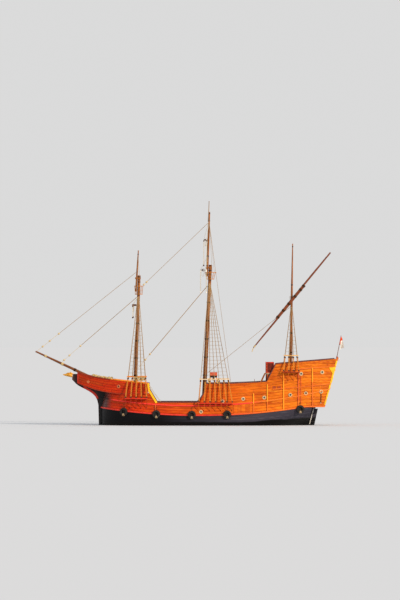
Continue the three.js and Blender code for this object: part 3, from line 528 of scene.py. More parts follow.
# Brushed oil paint on timber: faint brush marks along the grain and dulled patches. Each fade turns it
# into another colour between two stations.
def makePaint(name, colour, worn, roughness=0.4, stretch=(1.8, 20, 45), fades=()):
    material, add = newMaterial(name, colour, roughness, coat=0.08, specular=0.3)
    brush = cloudy(add, stretch, 5)
    patch = cloudy(add, (2, 2, 2), 4)
    worked = add("ShaderNodeMapRange", {0: patch, 1: 0.5, 2: 0.74, 4: 0.75})
    layers = [(worked, worn)]
    for start, end, colourThere in fades:
        source = add("ShaderNodeTexCoord", output="Object")
        place = add("ShaderNodeSeparateXYZ", {0: source})
        reach = add("ShaderNodeMapRange", {0: place, 1: start, 2: end})
        layers.append((reach, colourThere))
    streak = add("ShaderNodeValToRGB", {0: brush}, stops=[(0.32, "#b5b0ac"), (0.52, "#ffffff")])
    layers.append((0.6, streak, "MULTIPLY"))
    dull = add("ShaderNodeMapRange", {0: patch, 1: 0.3, 2: 0.75, 3: roughness, 4: 0.68})
    cover(material, colour, layers, brush, 0.003, dull)
    return material


# Black topside paint over red antifouling. Towards the stern the black is painted greyer, with grey
# streaks, as a painted sheen where the sun falls; a near-black, glossier band follows the waterline and
# climbs towards the stern.
def makeHullPaint():
    material, add = newMaterial("BlackHullPaint", "#2b2c30", 0.5, coat=0.03, specular=0.12)
    source = add("ShaderNodeTexCoord", output="Object")
    place = add("ShaderNodeSeparateXYZ", {0: source}, None).outputs
    streaks = cloudy(add, (0.5, 3.2, 7.0), 5)
    cloud = cloudy(add, (0.45, 0.45, 0.9), 4)
    # painted sheen: grey streaks that grow towards the sunlit stern
    aft = add("ShaderNodeMapRange", {0: place[0], 1: 4.5, 2: -5.0})
    sheenStreaks = add("ShaderNodeMapRange", {0: streaks, 1: 0.5, 2: 0.68, 4: 0.45})
    sheenStreaks = add("ShaderNodeMath", {0: sheenStreaks, 1: aft}, operation="MULTIPLY")
    climb = add("ShaderNodeMapRange", {0: place[0], 1: -4.0, 2: -12.0, 3: 0.22, 4: 0.72})
    ripple = add("ShaderNodeMath", {0: cloud, 1: 0.3, 2: climb}, operation="MULTIPLY_ADD")
    level = add("ShaderNodeMath", {0: place[2], 1: ripple}, operation="SUBTRACT")
    waterlineBand = add("ShaderNodeMapRange", {0: level, 1: -0.05, 2: 0.06, 3: 1.0, 4: 0.0})
    under = add("ShaderNodeMath", {0: place[2], 1: -0.02}, operation="LESS_THAN")
    bottom = add("ShaderNodeValToRGB", {0: streaks}, stops=[(0.4, "#6e2a22"), (0.65, "#4d4a35")])
    row = add("ShaderNodeMath", {0: place[2], 1: 1 / 0.24}, operation="MULTIPLY")
    edge = add("ShaderNodeMath", {0: row, 1: 0.5}, operation="PINGPONG")
    seam = add("ShaderNodeMapRange", {0: edge, 2: 0.06})
    height = add("ShaderNodeMath", {0: streaks, 1: 0.4, 2: seam}, operation="MULTIPLY_ADD")
    dull = add("ShaderNodeMapRange", {0: waterlineBand, 3: 0.5, 4: 0.22})
    layers = [(aft, "#3a3742"), (sheenStreaks, "#5e5c66"), (waterlineBand, "#0c0909"), (under, bottom)]
    cover(material, "#08080b", layers, height, 0.006, dull)
    return material


# Scrubbed pine deck: 120 mm planks, pitch seams between them, grey where it is walked on.
def makeDeckPine():
    material, add = newMaterial("ScrubbedPineDeck", "#b08a5c", 0.62, specular=0.3)
    bricks = add(
        "ShaderNodeTexBrick",
        {
            "Vector": add("ShaderNodeTexCoord", output="Object"),
            "Color1": "#b98f60",
            "Color2": "#97714a",
            "Mortar": "#1d1712",
            "Scale": 1.0,
            "Mortar Size": 0.005,
            "Mortar Smooth": 0.1,
            "Brick Width": 3.6,
            "Row Height": 0.12,
        },
        None,
        offset=0.37,
    ).outputs
    fibres = cloudy(add, (2.2, 40, 14), 6)
    worn = cloudy(add, (0.6, 0.6, 1), 3)
    shade = add("ShaderNodeValToRGB", {0: fibres}, stops=[(0.34, "#a89a8c"), (0.6, "#ffffff")])
    walked = add("ShaderNodeMapRange", {0: worn, 1: 0.35, 2: 0.75, 4: 0.4})
    height = add("ShaderNodeMath", {0: fibres, 1: 0.15}, operation="MULTIPLY")
    height = add("ShaderNodeMath", {0: height, 1: bricks[1]}, operation="SUBTRACT")
    layers = [(0.6, shade, "MULTIPLY"), (walked, "#9a938a")]
    cover(material, bricks[0], layers, height, 0.004)
    return material


# Oiled pine spar: long grain and drying checks that follow the stick, read along its own UV map.
# The sticks are darker low down; the darkening fades out between 8 and 16 metres up.
def makeSparPine(name, light, dark, low):
    material, add = newMaterial(name, light, 0.5, coat=0.05, specular=0.25)
    fibres = cloudy(add, (18, 1.8, 1), 6, "UV")
    patch = cloudy(add, (1.2, 0.6, 1), 3, "UV")
    wood = add("ShaderNodeValToRGB", {0: fibres}, stops=[(0.36, dark), (0.58, light)])
    source = add("ShaderNodeTexCoord", output="Object")
    rise = add("ShaderNodeSeparateXYZ", {0: source}, 2)
    darkLow = add("ShaderNodeMapRange", {0: rise, 1: 8.0, 2: 16.0, 3: 0.6, 4: 0.0})
    stain = add("ShaderNodeValToRGB", {0: patch}, stops=[(0.38, "#9a8578"), (0.6, "#ffffff")])
    cover(material, wood, [(darkLow, low), (0.6, stain, "MULTIPLY")], fibres, 0.004)
    return material


# Three-strand hemp: strands climb round the rope, drawn about twice as coarse as real.
def makeRope(name, light, dark, turns=9.0):
    material, add = newMaterial(name, light, 0.88, specular=0.2)
    source = add("ShaderNodeTexCoord", output="UV")
    place = add("ShaderNodeSeparateXYZ", {0: source}, None).outputs
    along = add("ShaderNodeMath", {0: place[1], 1: turns}, operation="MULTIPLY")
    climb = add("ShaderNodeMath", {0: place[0], 1: 3.0, 2: along}, operation="MULTIPLY_ADD")
    strand = add("ShaderNodeMath", {0: climb, 1: 0.5}, operation="PINGPONG")
    fuzz = add("ShaderNodeMath", {0: cloudy(add, (40, 40, 40), 3), 1: 0.35}, operation="MULTIPLY")
    both = add("ShaderNodeMath", {0: strand, 1: 1.4, 2: fuzz}, operation="MULTIPLY_ADD")
    rope = add("ShaderNodeValToRGB", {0: both}, stops=[(0.2, dark), (0.75, light)])
    cover(material, rope, [], strand, 0.006)
    return material


# Wool bunting: a red band along the hoist and white in the fly, with a fine plain weave.
def makeBunting():
    material, add = newMaterial("RedAndWhiteWoolBunting", "#e0512c", 0.85, specular=0.1)
    source = add("ShaderNodeTexCoord", output="UV")
    place = add("ShaderNodeSeparateXYZ", {0: source}, None).outputs
    white = add("ShaderNodeMath", {0: place[0], 1: 0.36}, operation="GREATER_THAN")
    warp = add("ShaderNodeMath", {0: place[0], 1: 1400.0}, operation="MULTIPLY")
    weft = add("ShaderNodeMath", {0: place[1], 1: 900.0}, operation="MULTIPLY")
    warp, weft = [add("ShaderNodeMath", {0: thread}, operation="SINE") for thread in (warp, weft)]
    weave = add("ShaderNodeMath", {0: warp, 1: weft}, operation="ADD")
    soil = add("ShaderNodeMapRange", {0: cloudy(add, (3, 3, 3)), 1: 0.4, 2: 0.7, 4: 0.35})
    layers = [(white, "#f4efe6"), (soil, "#b9a48e", "MULTIPLY")]
    cover(material, "#e8532a", layers, weave, 0.0006)
    return material


# Anything whose colour only clouds between two tones at this size: small stuff, cast iron, rubber, gilt.
def makeMottled(name, light, dark, roughness, metallic=0.0, scale=8.0, bump=0.002, coat=0.0):
    material, add = newMaterial(name, light, roughness, metallic, coat=coat, specular=0.3)
    cloud = cloudy(add, (scale, scale, scale), 5)
    tint = add("ShaderNodeValToRGB", {0: cloud}, stops=[(0.36, dark), (0.62, light)])
    cover(material, tint, [], cloud, bump)
    return material


# Smoked glass with the dark cabin behind it: nearly black, and a little uneven.
def makeGlass():
    material, add = newMaterial("SmokedPortholeGlass", "#4a5358", 0.1, coat=0.3)
    cloud = cloudy(add, (9, 9, 9), 3)
    tint = add("ShaderNodeValToRGB", {0: cloud}, stops=[(0.35, "#2c3338"), (0.65, "#566067")])
    cover(material, tint, [], cloud, 0.001)
    return material


# Each larch: its name, the sunlit stern colour, the shaded bow colour it fades to as painted light and
# shade, the board fleck, and the painted grain highlight.
larchStrakes = makeLarch("VarnishedLarchStrakes", "#e5730a", "#cc2b04", "#b0400a", "#f7a01e")
larchUpright = makeLarch("UprightLarchBoards", "#d9690f", "#bd430f", "#8c3a0c", "#f09a30", "upright", 0.15)
larchLevel = makeLarch("LevelLarchBoards", "#e2730f", "#c4440f", "#9c4410", "#f7a52c", "level", 0.2)
hullPaint = makeHullPaint()
redPaint = makePaint("RedEnamelPaint", "#d4321a", "#9c260f")
# The wales' fades are painted light and shade: both turn orange towards the sunlit stern, and the upper
# wale turns dark brown on the shaded turn of the bow.
waleRed = makePaint("RedLowerWale", "#e23420", "#b0260f", fades=[(-1.0, -6.5, "#ea6c12")])
upperRed = makePaint(
    "RedUpperWale", "#ff3c2c", "#d82a18", fades=[(-4.4, -6.2, "#e6760e"), (9.5, 10.1, "#40201c")]
)
yellowPaint = makePaint("YellowEnamelPaint", "#ffc015", "#e89c10")
riderOil = makePaint("OchreOiledOak", "#f7a11a", "#d97c12", 0.45)
goldOil = makePaint("GoldenOiledLarch", "#f08c18", "#c0560e", 0.45)
plankOil = makePaint("AmberOiledLarch", "#df6c0e", "#b5480c", 0.45)
peachOil = makePaint("PeachOiledOak", "#d97a48", "#b5582c", 0.5)
brownOil = makePaint("BrownOiledShutters", "#a23f08", "#7e2f06", 0.5)
redOil = makePaint("RedBrownOiledLarch", "#a5330f", "#7a220c", 0.45)
whitePaint = makePaint("WhiteEnamelPaint", "#f1ebdf", "#cfc7b6")
stemPaint = makePaint("StemPaintAndOak", "#101012", "#1c1a1a", 0.5, fades=[(10.9, 11.3, "#3a1c12")])
topOak = makePaint("WeatheredOakTops", "#bb7626", "#8a4f18", 0.5)
roofRed = makePaint("OrangeRedShingles", "#d4561c", "#a63c0f", 0.5)
darkRed = makePaint("DarkRedShutters", "#5c1a10", "#3a0f0a", 0.5)
creamPaint = makePaint("CreamOilPaint", "#f0d8b4", "#d0a878", 0.5)
strawPaint = makePaint("StrawOilPaint", "#f2c07a", "#cf9650", 0.5)
darkOak = makePaint("DarkStainedOak", "#3c1e14", "#27130d", 0.5)
capOak = makePaint("PlumStainedCapRail", "#6d3a34", "#4c2624", 0.5)
deckPine = makeDeckPine()
sparPine = makeSparPine("OiledPineSpar", "#ad682a", "#743f15", "#653411")
palePine = makeSparPine("WeatheredPinePole", "#b59a80", "#84694e", "#8a6a4a")
darkSpar = makeSparPine("BrownPineYard", "#8a4c22", "#54290f", "#7a3f1a")
tarredHemp = makeRope("TarredHempShroud", "#b3936a", "#6b5030")
redSpar = makeSparPine("RedBrownPineLateen", "#8e4a26", "#5a2b16", "#84401c")
paleHemp = makeRope("BleachedHempRope", "#dccaa6", "#a08a60")
darkHemp = makeRope("TarredHempWoolding", "#7a4f28", "#43280f")
twine = makeMottled("TarredRatlineTwine", "#b09a78", "#84694a", 0.9, scale=18.0)
ochreTwine = makeMottled("OchreLanyardTwine", "#e09a3c", "#a8641e", 0.9, scale=18.0)
paleTwine = makeMottled("PaleManilaTwine", "#dcc48f", "#a88a52", 0.9, scale=18.0)
tyreRubber = makeMottled("OldTyreRubber", "#24211f", "#100f0e", 0.75, scale=14.0, bump=0.004)
iron = makeMottled("BlackenedWroughtIron", "#3a3532", "#1d1a19", 0.5, 0.8, 20.0)
bronze = makeMottled("CastBronze", "#b98a45", "#7c5c2c", 0.3, 1.0, 9.0)
greyBronze = makeMottled("PaleBronzeRings", "#dcc298", "#ab9468", 0.55, 0.0, 14.0)
flagCloth = makeBunting()
portGlass = makeGlass()
gilding = makeMottled("GiltPaintOnCarving", "#f0b23e", "#b5721c", 0.38, 0.4, 12.0, 0.004)
ash = makeMottled("PaleAshBlocks", "#dcc69c", "#ad9465", 0.55, 0.0, 16.0, 0.002, 0.1)
elm = makeMottled("ElmBlocksAndDeadeyes", "#5a3018", "#34190c", 0.5, 0.0, 16.0, 0.002, 0.15)
print("materials ready")

# Camera, floor and light

view = {"distance": 900.0, "elevation": 0.2, "target": (0.52, 0.0, 13.03), "lens": 518.4}  # from far off


def makeCamera():
    rise = radians(view["elevation"])
    back = Vector((0, cos(rise), sin(rise)))
    data = bpy.data.cameras.new("Camera")
    data.lens = view["lens"]
    data.sensor_width = 36
    data.clip_start, data.clip_end = 1, 2000
    camera = newObject("Camera", data)
    camera.location = Vector(view["target"]) + back * view["distance"]
    camera.rotation_mode = "QUATERNION"
    camera.rotation_quaternion = (-back).to_track_quat("-Z", "Y")
    bpy.context.scene.camera = camera


light = {"height": 24, "side": 46, "power": 3.4, "angle": 6, "sky": 0.78, "floor": 900}


def makeStudio():
    floor, reach = newShape(), light["floor"]
    floor["verts"] = [(-reach, -reach, 0), (reach, -reach, 0), (reach, reach, 0), (-reach, reach, 0)]
    addFace(floor, (0, 1, 2, 3))
    pale, _ = newMaterial("PaleFloor", "#cfd3d9", 0.8, specular=0.0)
    mesh = toMesh("Floor", floor)
    mesh.materials.append(pale)
    newObject("Floor", mesh)

    world = bpy.data.worlds.new("PaleSky")
    world.use_nodes = True
    sky = world.node_tree.nodes["Background"]
    sky.inputs[0].default_value = toLinear("#f4f4f4")
    sky.inputs[1].default_value = light["sky"]
    bpy.context.scene.world = world

    sun = bpy.data.lights.new("LowSun", "SUN")
    sun.energy = light["power"]
    sun.color = toLinear("#fff0dc")[:3]
    sun.angle = radians(light["angle"])
    side, height = radians(light["side"]), radians(light["height"])
    towards = Vector((-sin(side) * cos(height), cos(side) * cos(height), sin(height)))
    lamp = newObject("LowSun", sun)
    lamp.rotation_mode = "QUATERNION"
    lamp.rotation_quaternion = towards.to_track_quat("Z", "Y")


makeCamera()
makeStudio()
bpy.context.scene.view_settings.view_transform = "Standard"
print("camera and studio ready")

# Hull


def hollowness(x):  # how hollow a section is: round amidships, thin at both ends
    if x < -1:
        return 0.55 + 11.5 * ((-1 - x) / 10.2) ** 4.5
    return 0.55 + 0.75 * (max(0, x - 3) / 7.75) ** 2


def columnX(share, z, aftX=-14.2):  # -1 at the stern, 0 at the widest station, 1 on the stem
    middle = hull["midX"]
    if share <= 0:
        return middle + share * (middle - aftX)
    return middle + (stemLineX(z) + 0.055 - middle) * sin(share * pi / 2)


def sidePoint(x, z, out, side):  # a point off the ship's side, square to its plan curve
    slope = (sideHalf(x, z) - sideHalf(x - 0.03, z)) / 0.03
    square = hypot(slope, 1)
    return Vector((x - slope / square * out, side * (sideHalf(x, z) + out / square), z))


def outward(x, z, side):
    return (sidePoint(x, z, 1, side) - sidePoint(x, z, 0, side)).normalized()


def waleLine(offset):
    return [(x, waleZ(x) + offset) for x in spread(-12.26, hull["stemX"], 41)]


def mirrored(mesh):
    made = mesh.copy()
    for vertex in made.vertices:
        vertex.co.y = -vertex.co.y
    made.flip_normals()
    return made


def makeLowerHull():
    shape, rings, deep, keel = newShape(), [], hull["bottomZ"], hull["keelHalf"]
    rises = [0, 0.015, 0.04, 0.08, 0.13, 0.19, 0.26, 0.34, 0.42, 0.51, 0.6, 0.7, 0.8, 0.9, 1]
    for share in spread(-1, 0, 34) + spread(0, 1, 20)[1:]:
        x = columnX(share, hull["kneeZ"], -11.6)
        top = waleZ(x)
        half = []
        for rise in rises:
            bulge = (1 - (1 - rise) ** 2.2) ** hollowness(x)
            half.append((keel + (sideHalf(x, top) - keel) * bulge, deep + rise * (top - deep)))
        half.append((sideHalf(x, top + 0.3), top + 0.3))
        rings.append([(x, -y, z) for y, z in reversed(half)] + [(x, y, z) for y, z in half])
    addRings(shape, rings)

    centreX, centreZ, radius = hull["forefoot"]
    turns = spread(-pi / 2, 0, 17)
    outline = [(centreX + (radius + 0.05) * cos(turn), centreZ + radius * sin(turn)) for turn in turns]
    outline.append((10.77, waleZ(10.7) - 0.002))
    outline += [point for point in reversed(waleLine(-0.002)) if -11 < point[0] < 10.7]
    outline += [(sternpostX(z) + 0.264, z) for z in (1.85, -1.95)]
    aperture = [(-9.42, -1.79), (-9.42, -0.43), (-12, -0.43), (-12, -1.79)]
    bore = newShape()
    addTube(bore, [(-9.6, 0, -1.1), (-8.92, 0, -1.1)], 0.057, 20)
    cuts = [(sidePrism(outline, -9, 9), "INTERSECT")]
    cuts += [(sidePrism(aperture, -1.5, 1.5), "DIFFERENCE"), (bore, "DIFFERENCE")]
    made = cutMesh(shape, cuts)
    putPiece("HullBelowWale", made, hullPaint, stands="hull_lower", crease=40)


def slab(columns, rows, outerAt, innerAt, uvAt):  # a closed sheet between two grids of points
    shape = newShape()
    across = len(rows)
    for at in (outerAt, innerAt):
        shape["verts"] += [tuple(at(c, r)) for c in columns for r in rows]
    half = len(columns) * across
    places = [uvAt(c, r) for c in columns for r in rows]
    places += [(u, v + strakes["innerRow"]) for u, v in places]

    def quad(*corners):
        addFace(shape, corners, [places[k] for k in corners])

    for i in range(len(columns) - 1):
        for j in range(across - 1):
            a = i * across + j
            quad(a, a + 1, a + across + 1, a + across)
            quad(half + a, half + a + across, half + a + across + 1, half + a + 1)
        for j in (0, across - 1):
            a = i * across + j
            quad(a, a + across, half + a + across, half + a)
    for i in (0, len(columns) - 1):
        for j in range(across - 1):
            a = i * across + j
            quad(a, half + a, half + a + 1, a + 1)
    return shape


def strakeRows(count):  # rows of a planked surface: a groove at each seam, crowned in between
    rows = []
    for k in range(count):
        rows += [(k, -strakes["groove"]), (k + 0.05, 0), (k + 0.5, strakes["lip"]), (k + 0.95, 0)]
    return rows + [(count, -strakes["groove"])]


sideTop = [  # top edge of the ship's side, from the bow aft
    (5.72, 3.296),
    (5.04, 2.4),
    (0.8, 2.4),
    (0.45, 2.75),
    (0.15, 3.25),
    (-0.05, 3.8),
    (-0.15, 4.34),
    (-2.8, 4.36),
    (-5.3, 4.46),
    (-6.43, 4.55),
    (-7.39, 6.38),
    (-13.48, 6.9),
]


def makePlankedSides():
    rows = strakeRows(21)

    def lay(share, row):
        z = waleZ(columnX(share, 2.5)) - 0.1 + row[0] * strakes["pitch"]
        return columnX(share, z), z

    def outer(share, row):
        x, z = lay(share, row)
        return x, sideHalf(x, z) + row[1], z

    def inner(share, row):
        x, z = lay(share, row)
        return x - max(0, share) * 0.1, max(0.05, sideHalf(x, z) - hull["plank"]), z

    shape = slab(
        spread(-1, 0, 30) + spread(0, 1, 24)[1:],
        rows,
        outer,
        inner,
        lambda share, row: (lay(share, row)[0], row[0]),
    )
    bowX = stemLineX(3.45) + 0.055
    outline = waleLine(0.002) + [(hull["stemX"] + 0.055, waleZ(10.72))]
    outline += [(x, castleBottomZ(x) - 0.004) for x in spread(bowX, 8.2, 8)]
    outline += sideTop[:-1] + [(transomX(6.89) + 0.184, 6.89)]
    made = cutMesh(shape, [(sidePrism(outline, 0.002, 9), "INTERSECT")])
    names = {"Port": "side_planking_port", "Starboard": "side_planking_starboard"}
    for word, node in names.items():
        mesh = made if word == "Port" else mirrored(made)
        putPiece("SidePlanking" + word, mesh, larchStrakes, stands=node)


def barSection(out, half, edge, chamfer, inner=0.0):  # of a bar whose outer edges are taken off
    upper = [(out, half - edge), (out - chamfer, half), (inner, half)]
    return [(reach, -rise) for reach, rise in reversed(upper)] + upper


def sideBar(stations, section, side):  # a bar on the ship's side, along stations of (x, z)
    shape = newShape()
    addRings(shape, [[sidePoint(x, z + rise, out, side) for out, rise in section] for x, z in stations])
    return shape


boardingDoor = {"fromX": -2.95, "toX": -5.0, "boards": 17, "out": 0.03}


riders = [  # station, foot, where its finish changes, head, finish below and above
    (5.15, 1.1, 1.1, 2.25, "red", "red"),
    (-5.03, 1.3, 2.3, 3.35, "plain", "ochre"),
    (-6.46, 1.45, 2.5, 4.3, "plain", "ochre"),
    (-8.15, 1.6, 1.6, 5.45, "ochre", "ochre"),
    (-9.67, 1.8, 2.6, 5.45, "plain", "red"),
    (-11.15, 1.95, 4.5, 6.01, "plain", "ochre"),
]
fenders = [(8.4, 1.43), (5.05, 1.2), (1.375, 1.13), (-2.3, 1.16), (-9.88, 1.7)]
tyre = {"radius": 0.3, "tube": 0.12, "wall": 0.018, "sling": 0.014, "lashing": 0.017, "turns": 7}


def makeWales(word, side):
    node = "wales_and_fenders_" + word.lower()
    for name, path, half, aftX, material in [
        ("LowerWale", lambda x: waleZ(x) + 0.085, 0.075, transomX(1.985), waleRed),
        ("UpperWale", upperWaleZ, 0.065, transomX(3.7), upperRed),
    ]:
        shares = spread((aftX + 0.03 - hull["midX"]) / 15.7, 0, 30) + spread(0, 1, 26)[1:]
        heights = [path(columnX(share, 2.2)) for share in shares]
        stations = [(columnX(share, z), z) for share, z in zip(shares, heights)]
        bar = sideBar(stations, barSection(0.085, half, 0.018, 0.015), side)
        putPiece(name + word, bar, material, stands=node)
    for name, path, half, out, aftX, foreX, material in [
        ("CabinMoulding", lambda x: 3.56 + 0.0045 * x**2, 0.045, 0.075, transomX(4.3) + 0.03, -7, plankOil),
        ("PoopMoulding", lambda x: poopDeckZ(x) + 0.13, 0.045, 0.075, transomX(6.1) + 0.03, -7.6, plankOil),
        ("BeltMoulding", lambda x: 3.36 - 0.031 * x, 0.022, 0.03, -11.1, -6.52, riderOil),
    ]:
        stations = [(x, path(x)) for x in spread(aftX, foreX, 14)]
        bar = sideBar(stations, barSection(out, half, 0.012, 0.01), side)
        putPiece(name + word, bar, material, stands=node)

    posts = {"plain": newShape(), "ochre": newShape(), "red": newShape()}
    corners = [(-0.05, 0.0), (-0.05, 0.085), (-0.036, 0.098), (0.036, 0.098), (0.05, 0.085), (0.05, 0.0)]
    for x, foot, change, head, below, above in riders:
        for finish, low, high in ((below, foot, change), (above, change, head)):
            if high > low:
                heights = spread(low, high, max(3, int((high - low) / 0.25)))
                rings = [[sidePoint(x + step, z, out, side) for step, out in corners] for z in heights]
                addRings(posts[finish], rings)
    for name, finish, material in [
        ("Riders", "ochre", riderOil), ("RedRiders", "red", roofRed), ("PlainRiders", "plain", plankOil)
    ]:
        putPiece(name + word, posts[finish], material, stands=node)

    rows = strakeRows(boardingDoor["boards"])
    fromX, toX = boardingDoor["fromX"], boardingDoor["toX"]

    def gate(share, row, out):
        x = fromX + (toX - fromX) * row[0] / boardingDoor["boards"]
        low, high = waleZ(x) + 0.165, upperWaleZ(x) - 0.07
        return sidePoint(x, low + (high - low) * share, out + row[1], side)

    door = slab(
        spread(0, 1, 2),
        rows,
        lambda share, row: gate(share, row, boardingDoor["out"]),
        lambda share, row: gate(share, row, 0.0),
        lambda share, row: (0.5 * share + 3, row[0]),
    )
    putPiece("BoardingDoor" + word, door, larchStrakes)

    bolts = []
    for path, lift in ((waleZ, 0.085), (upperWaleZ, 0.0)):
        for x in spread(-12.2, 9.2, 48):
            turn = upright.rotation_difference(outward(x, 2, side)).to_euler()
            bolts.append((sidePoint(x, path(x) + lift, 0.083, side), tuple(turn), 1.0))
    head = newShape()
    addLathe(head, [(0.022, 0), (0.019, 0.008), (0.008, 0.013)], (0, 0, 0), (0, 0, 1), 8)
    putPiece("WaleBolts" + word, copiesAt(head, bolts, iron), iron)


def tyreSection(r, t, w):  # an open carcass: tread, walls and beads, then back along the inside
    outside = [(r + t, t * 0.5), (r + t * 0.7, t * 0.85), (r, t), (r - t * 0.6, t * 0.98)]
    outside.append((r - t * 0.85, t * 0.55))
    outside = [(x, -y) for x, y in reversed(outside)] + outside
    inside = [(r - t * 0.6, t - w - 0.01), (r, t - w), (r + t - w, t * 0.4)]
    return outside + inside + [(x, -y) for x, y in reversed(inside)]


def makeFenders(word, side):
    tyres, slings, lashings = newShape(), newShape(), newShape()
    radius, tube, rope = tyre["radius"], tyre["tube"], tyre["lashing"]
    for x, z in fenders:
        centre, out = sidePoint(x, z, 0.085 + tube * 0.5, side), outward(x, z, side)
        addHoop(tyres, tyreSection(radius, tube, tyre["wall"]), centre, out, 32)
        # a dark rubber disc fills the tyre's hole: painted shade for the tyre's dark inside
        addLathe(tyres, [(0.2, -0.012), (0.22, 0), (0.2, 0.012)], centre - out * 0.05, out, 24)
        for shift in (-0.06, 0.06):
            reach = radius + tube + tyre["sling"]
            low = centre + Vector((shift * 0.6, 0, radius - tube * 0.9))
            over = centre + Vector((shift, 0, reach)) + out * 0.06
            bend = sidePoint(x + shift, z + reach + 0.1, 0.12, side)
            head = sidePoint(x + shift * 0.7, z + reach + 0.35, 0.03, side)
            addTube(slings, [low, over, bend, head], tyre["sling"], 8)
        for k in range(tyre["turns"]):  # pale rope served round the tread's lowest part: a painted highlight for the glint on the tyre's lower lip
            swing = (k - (tyre["turns"] - 1) / 2) * 0.1
            spoke = out.cross(upright) * sin(swing) - upright * cos(swing)
            profile = roundProfile(tube + rope * 0.6, rope, 6)
            addHoop(lashings, profile, centre + spoke * radius, out.cross(spoke), 16)
    node = "wales_and_fenders_" + word.lower()
    putPiece("TyreFenders" + word, tyres, tyreRubber, stands=node, crease=30)
    putPiece("FenderSlings" + word, slings, darkHemp)
    putPiece("FenderLashings" + word, lashings, twine)
    longSling = newShape()
    x = fenders[-1][0]
    for shift, high in ((-0.05, 5.2), (-0.08, 5.0)):
        points = [sidePoint(x + shift, z, 0.03, side) for z in spread(2.3, high, 12)]
        addTube(longSling, points, 0.02, 8)
    putPiece("LongSling" + word, longSling, roofRed)


def sideStrip(path, section, faceAt, side):  # along (x, z), of (across the path, out from the face)
    shape, rings = newShape(), []
    for i, (x, z) in enumerate(path):
        (x0, z0), (x1, z1) = path[max(0, i - 1)], path[min(len(path) - 1, i + 1)]
        length = hypot(x1 - x0, z1 - z0)
        wayX, wayZ = (z0 - z1) / length, (x1 - x0) / length
        places = [(x + wayX * across, z + wayZ * across, out) for across, out in section]
        rings.append([(px, side * (faceAt(px, pz) + out), pz) for px, pz, out in places])
    addRings(shape, rings)
    return shape


def boardSection(width, thick):
    half = width / 2
    edge = [(half, 0.0), (half, thick * 0.7), (half * 0.9, thick)]
    return edge + [(-across, out) for across, out in reversed(edge)]


def makeCapRails(word, side):
    path = []
    for (x0, z0), (x1, z1) in zip(sideTop[1:], sideTop[2:]):
        steps = max(1, round(hypot(x1 - x0, z1 - z0) / 0.55))
        path += [(x0 + (x1 - x0) * i / steps, z0 + (z1 - z0) * i / steps) for i in range(steps)]
    section = [(-0.004, 0.03), (-0.02, 0.05), (-0.063, 0.05), (-0.079, 0.03)]
    section += [(-0.079, -0.145), (-0.063, -0.16), (-0.004, -0.16)]
    rail = sideStrip(path + sideTop[-1:], section, sideHalf, side)
    node = "cap_rail_" + word.lower()
    putPiece("CapRail" + word, rail, capOak, stands=node, crease=28)


makeLowerHull()
makePlankedSides()
for make in (makeWales, makeFenders, makeCapRails):
    for word, side in sides.items():
        make(word, side)
print("hull ready")

# Forecastle

castle = {
    "aftX": 5.95,
    "foreX": 13.176,
    "panel": 0.12,
    "strakes": 5,
    "railJoint": 9.75,
    "edgeBoard": [(5.89, 4.4), (5.87, 4.0), (5.82, 3.68), (5.45, 3.05), (5.03, 2.37)],
    "kneeEdge": [(11.28, 2.7), (11.43, 3.0), (11.66, 3.23), (11.98, 3.46), (12.4, 3.7), (12.72, 3.87)],
}


def castlePoint(x, z, out, side):  # a point off the forecastle's side
    slope = (castleHalf(x) - castleHalf(x - 0.03)) / 0.03
    square = hypot(slope, 1)
    return Vector((x - slope / square * out, side * (castleHalf(x) + out / square), z))


def addPanel(shape, at, wide, tall, low, high):  # a thin plate, laid on by at(across, up, out)
    corners = ((-wide, -tall), (wide, -tall), (wide, tall), (-wide, tall))
    addRings(shape, [[at(u, v, out) for u, v in corners] for out in (low, high)])


def addFrame(shape, at, wide, tall, border, proud):  # a square frame round a pane
    section = [(border, 0.0), (border, proud * 0.7), (border * 0.7, proud)]
    section += [(border * 0.2, proud), (0.0, proud * 0.8), (0.0, 0.0)]
    rings = []
    for u, v in ((-1, -1), (1, -1), (1, 1), (-1, 1)):
        rings.append([at(u * (wide + reach), v * (tall + reach), out) for reach, out in section])
    addRings(shape, rings, loop=True)


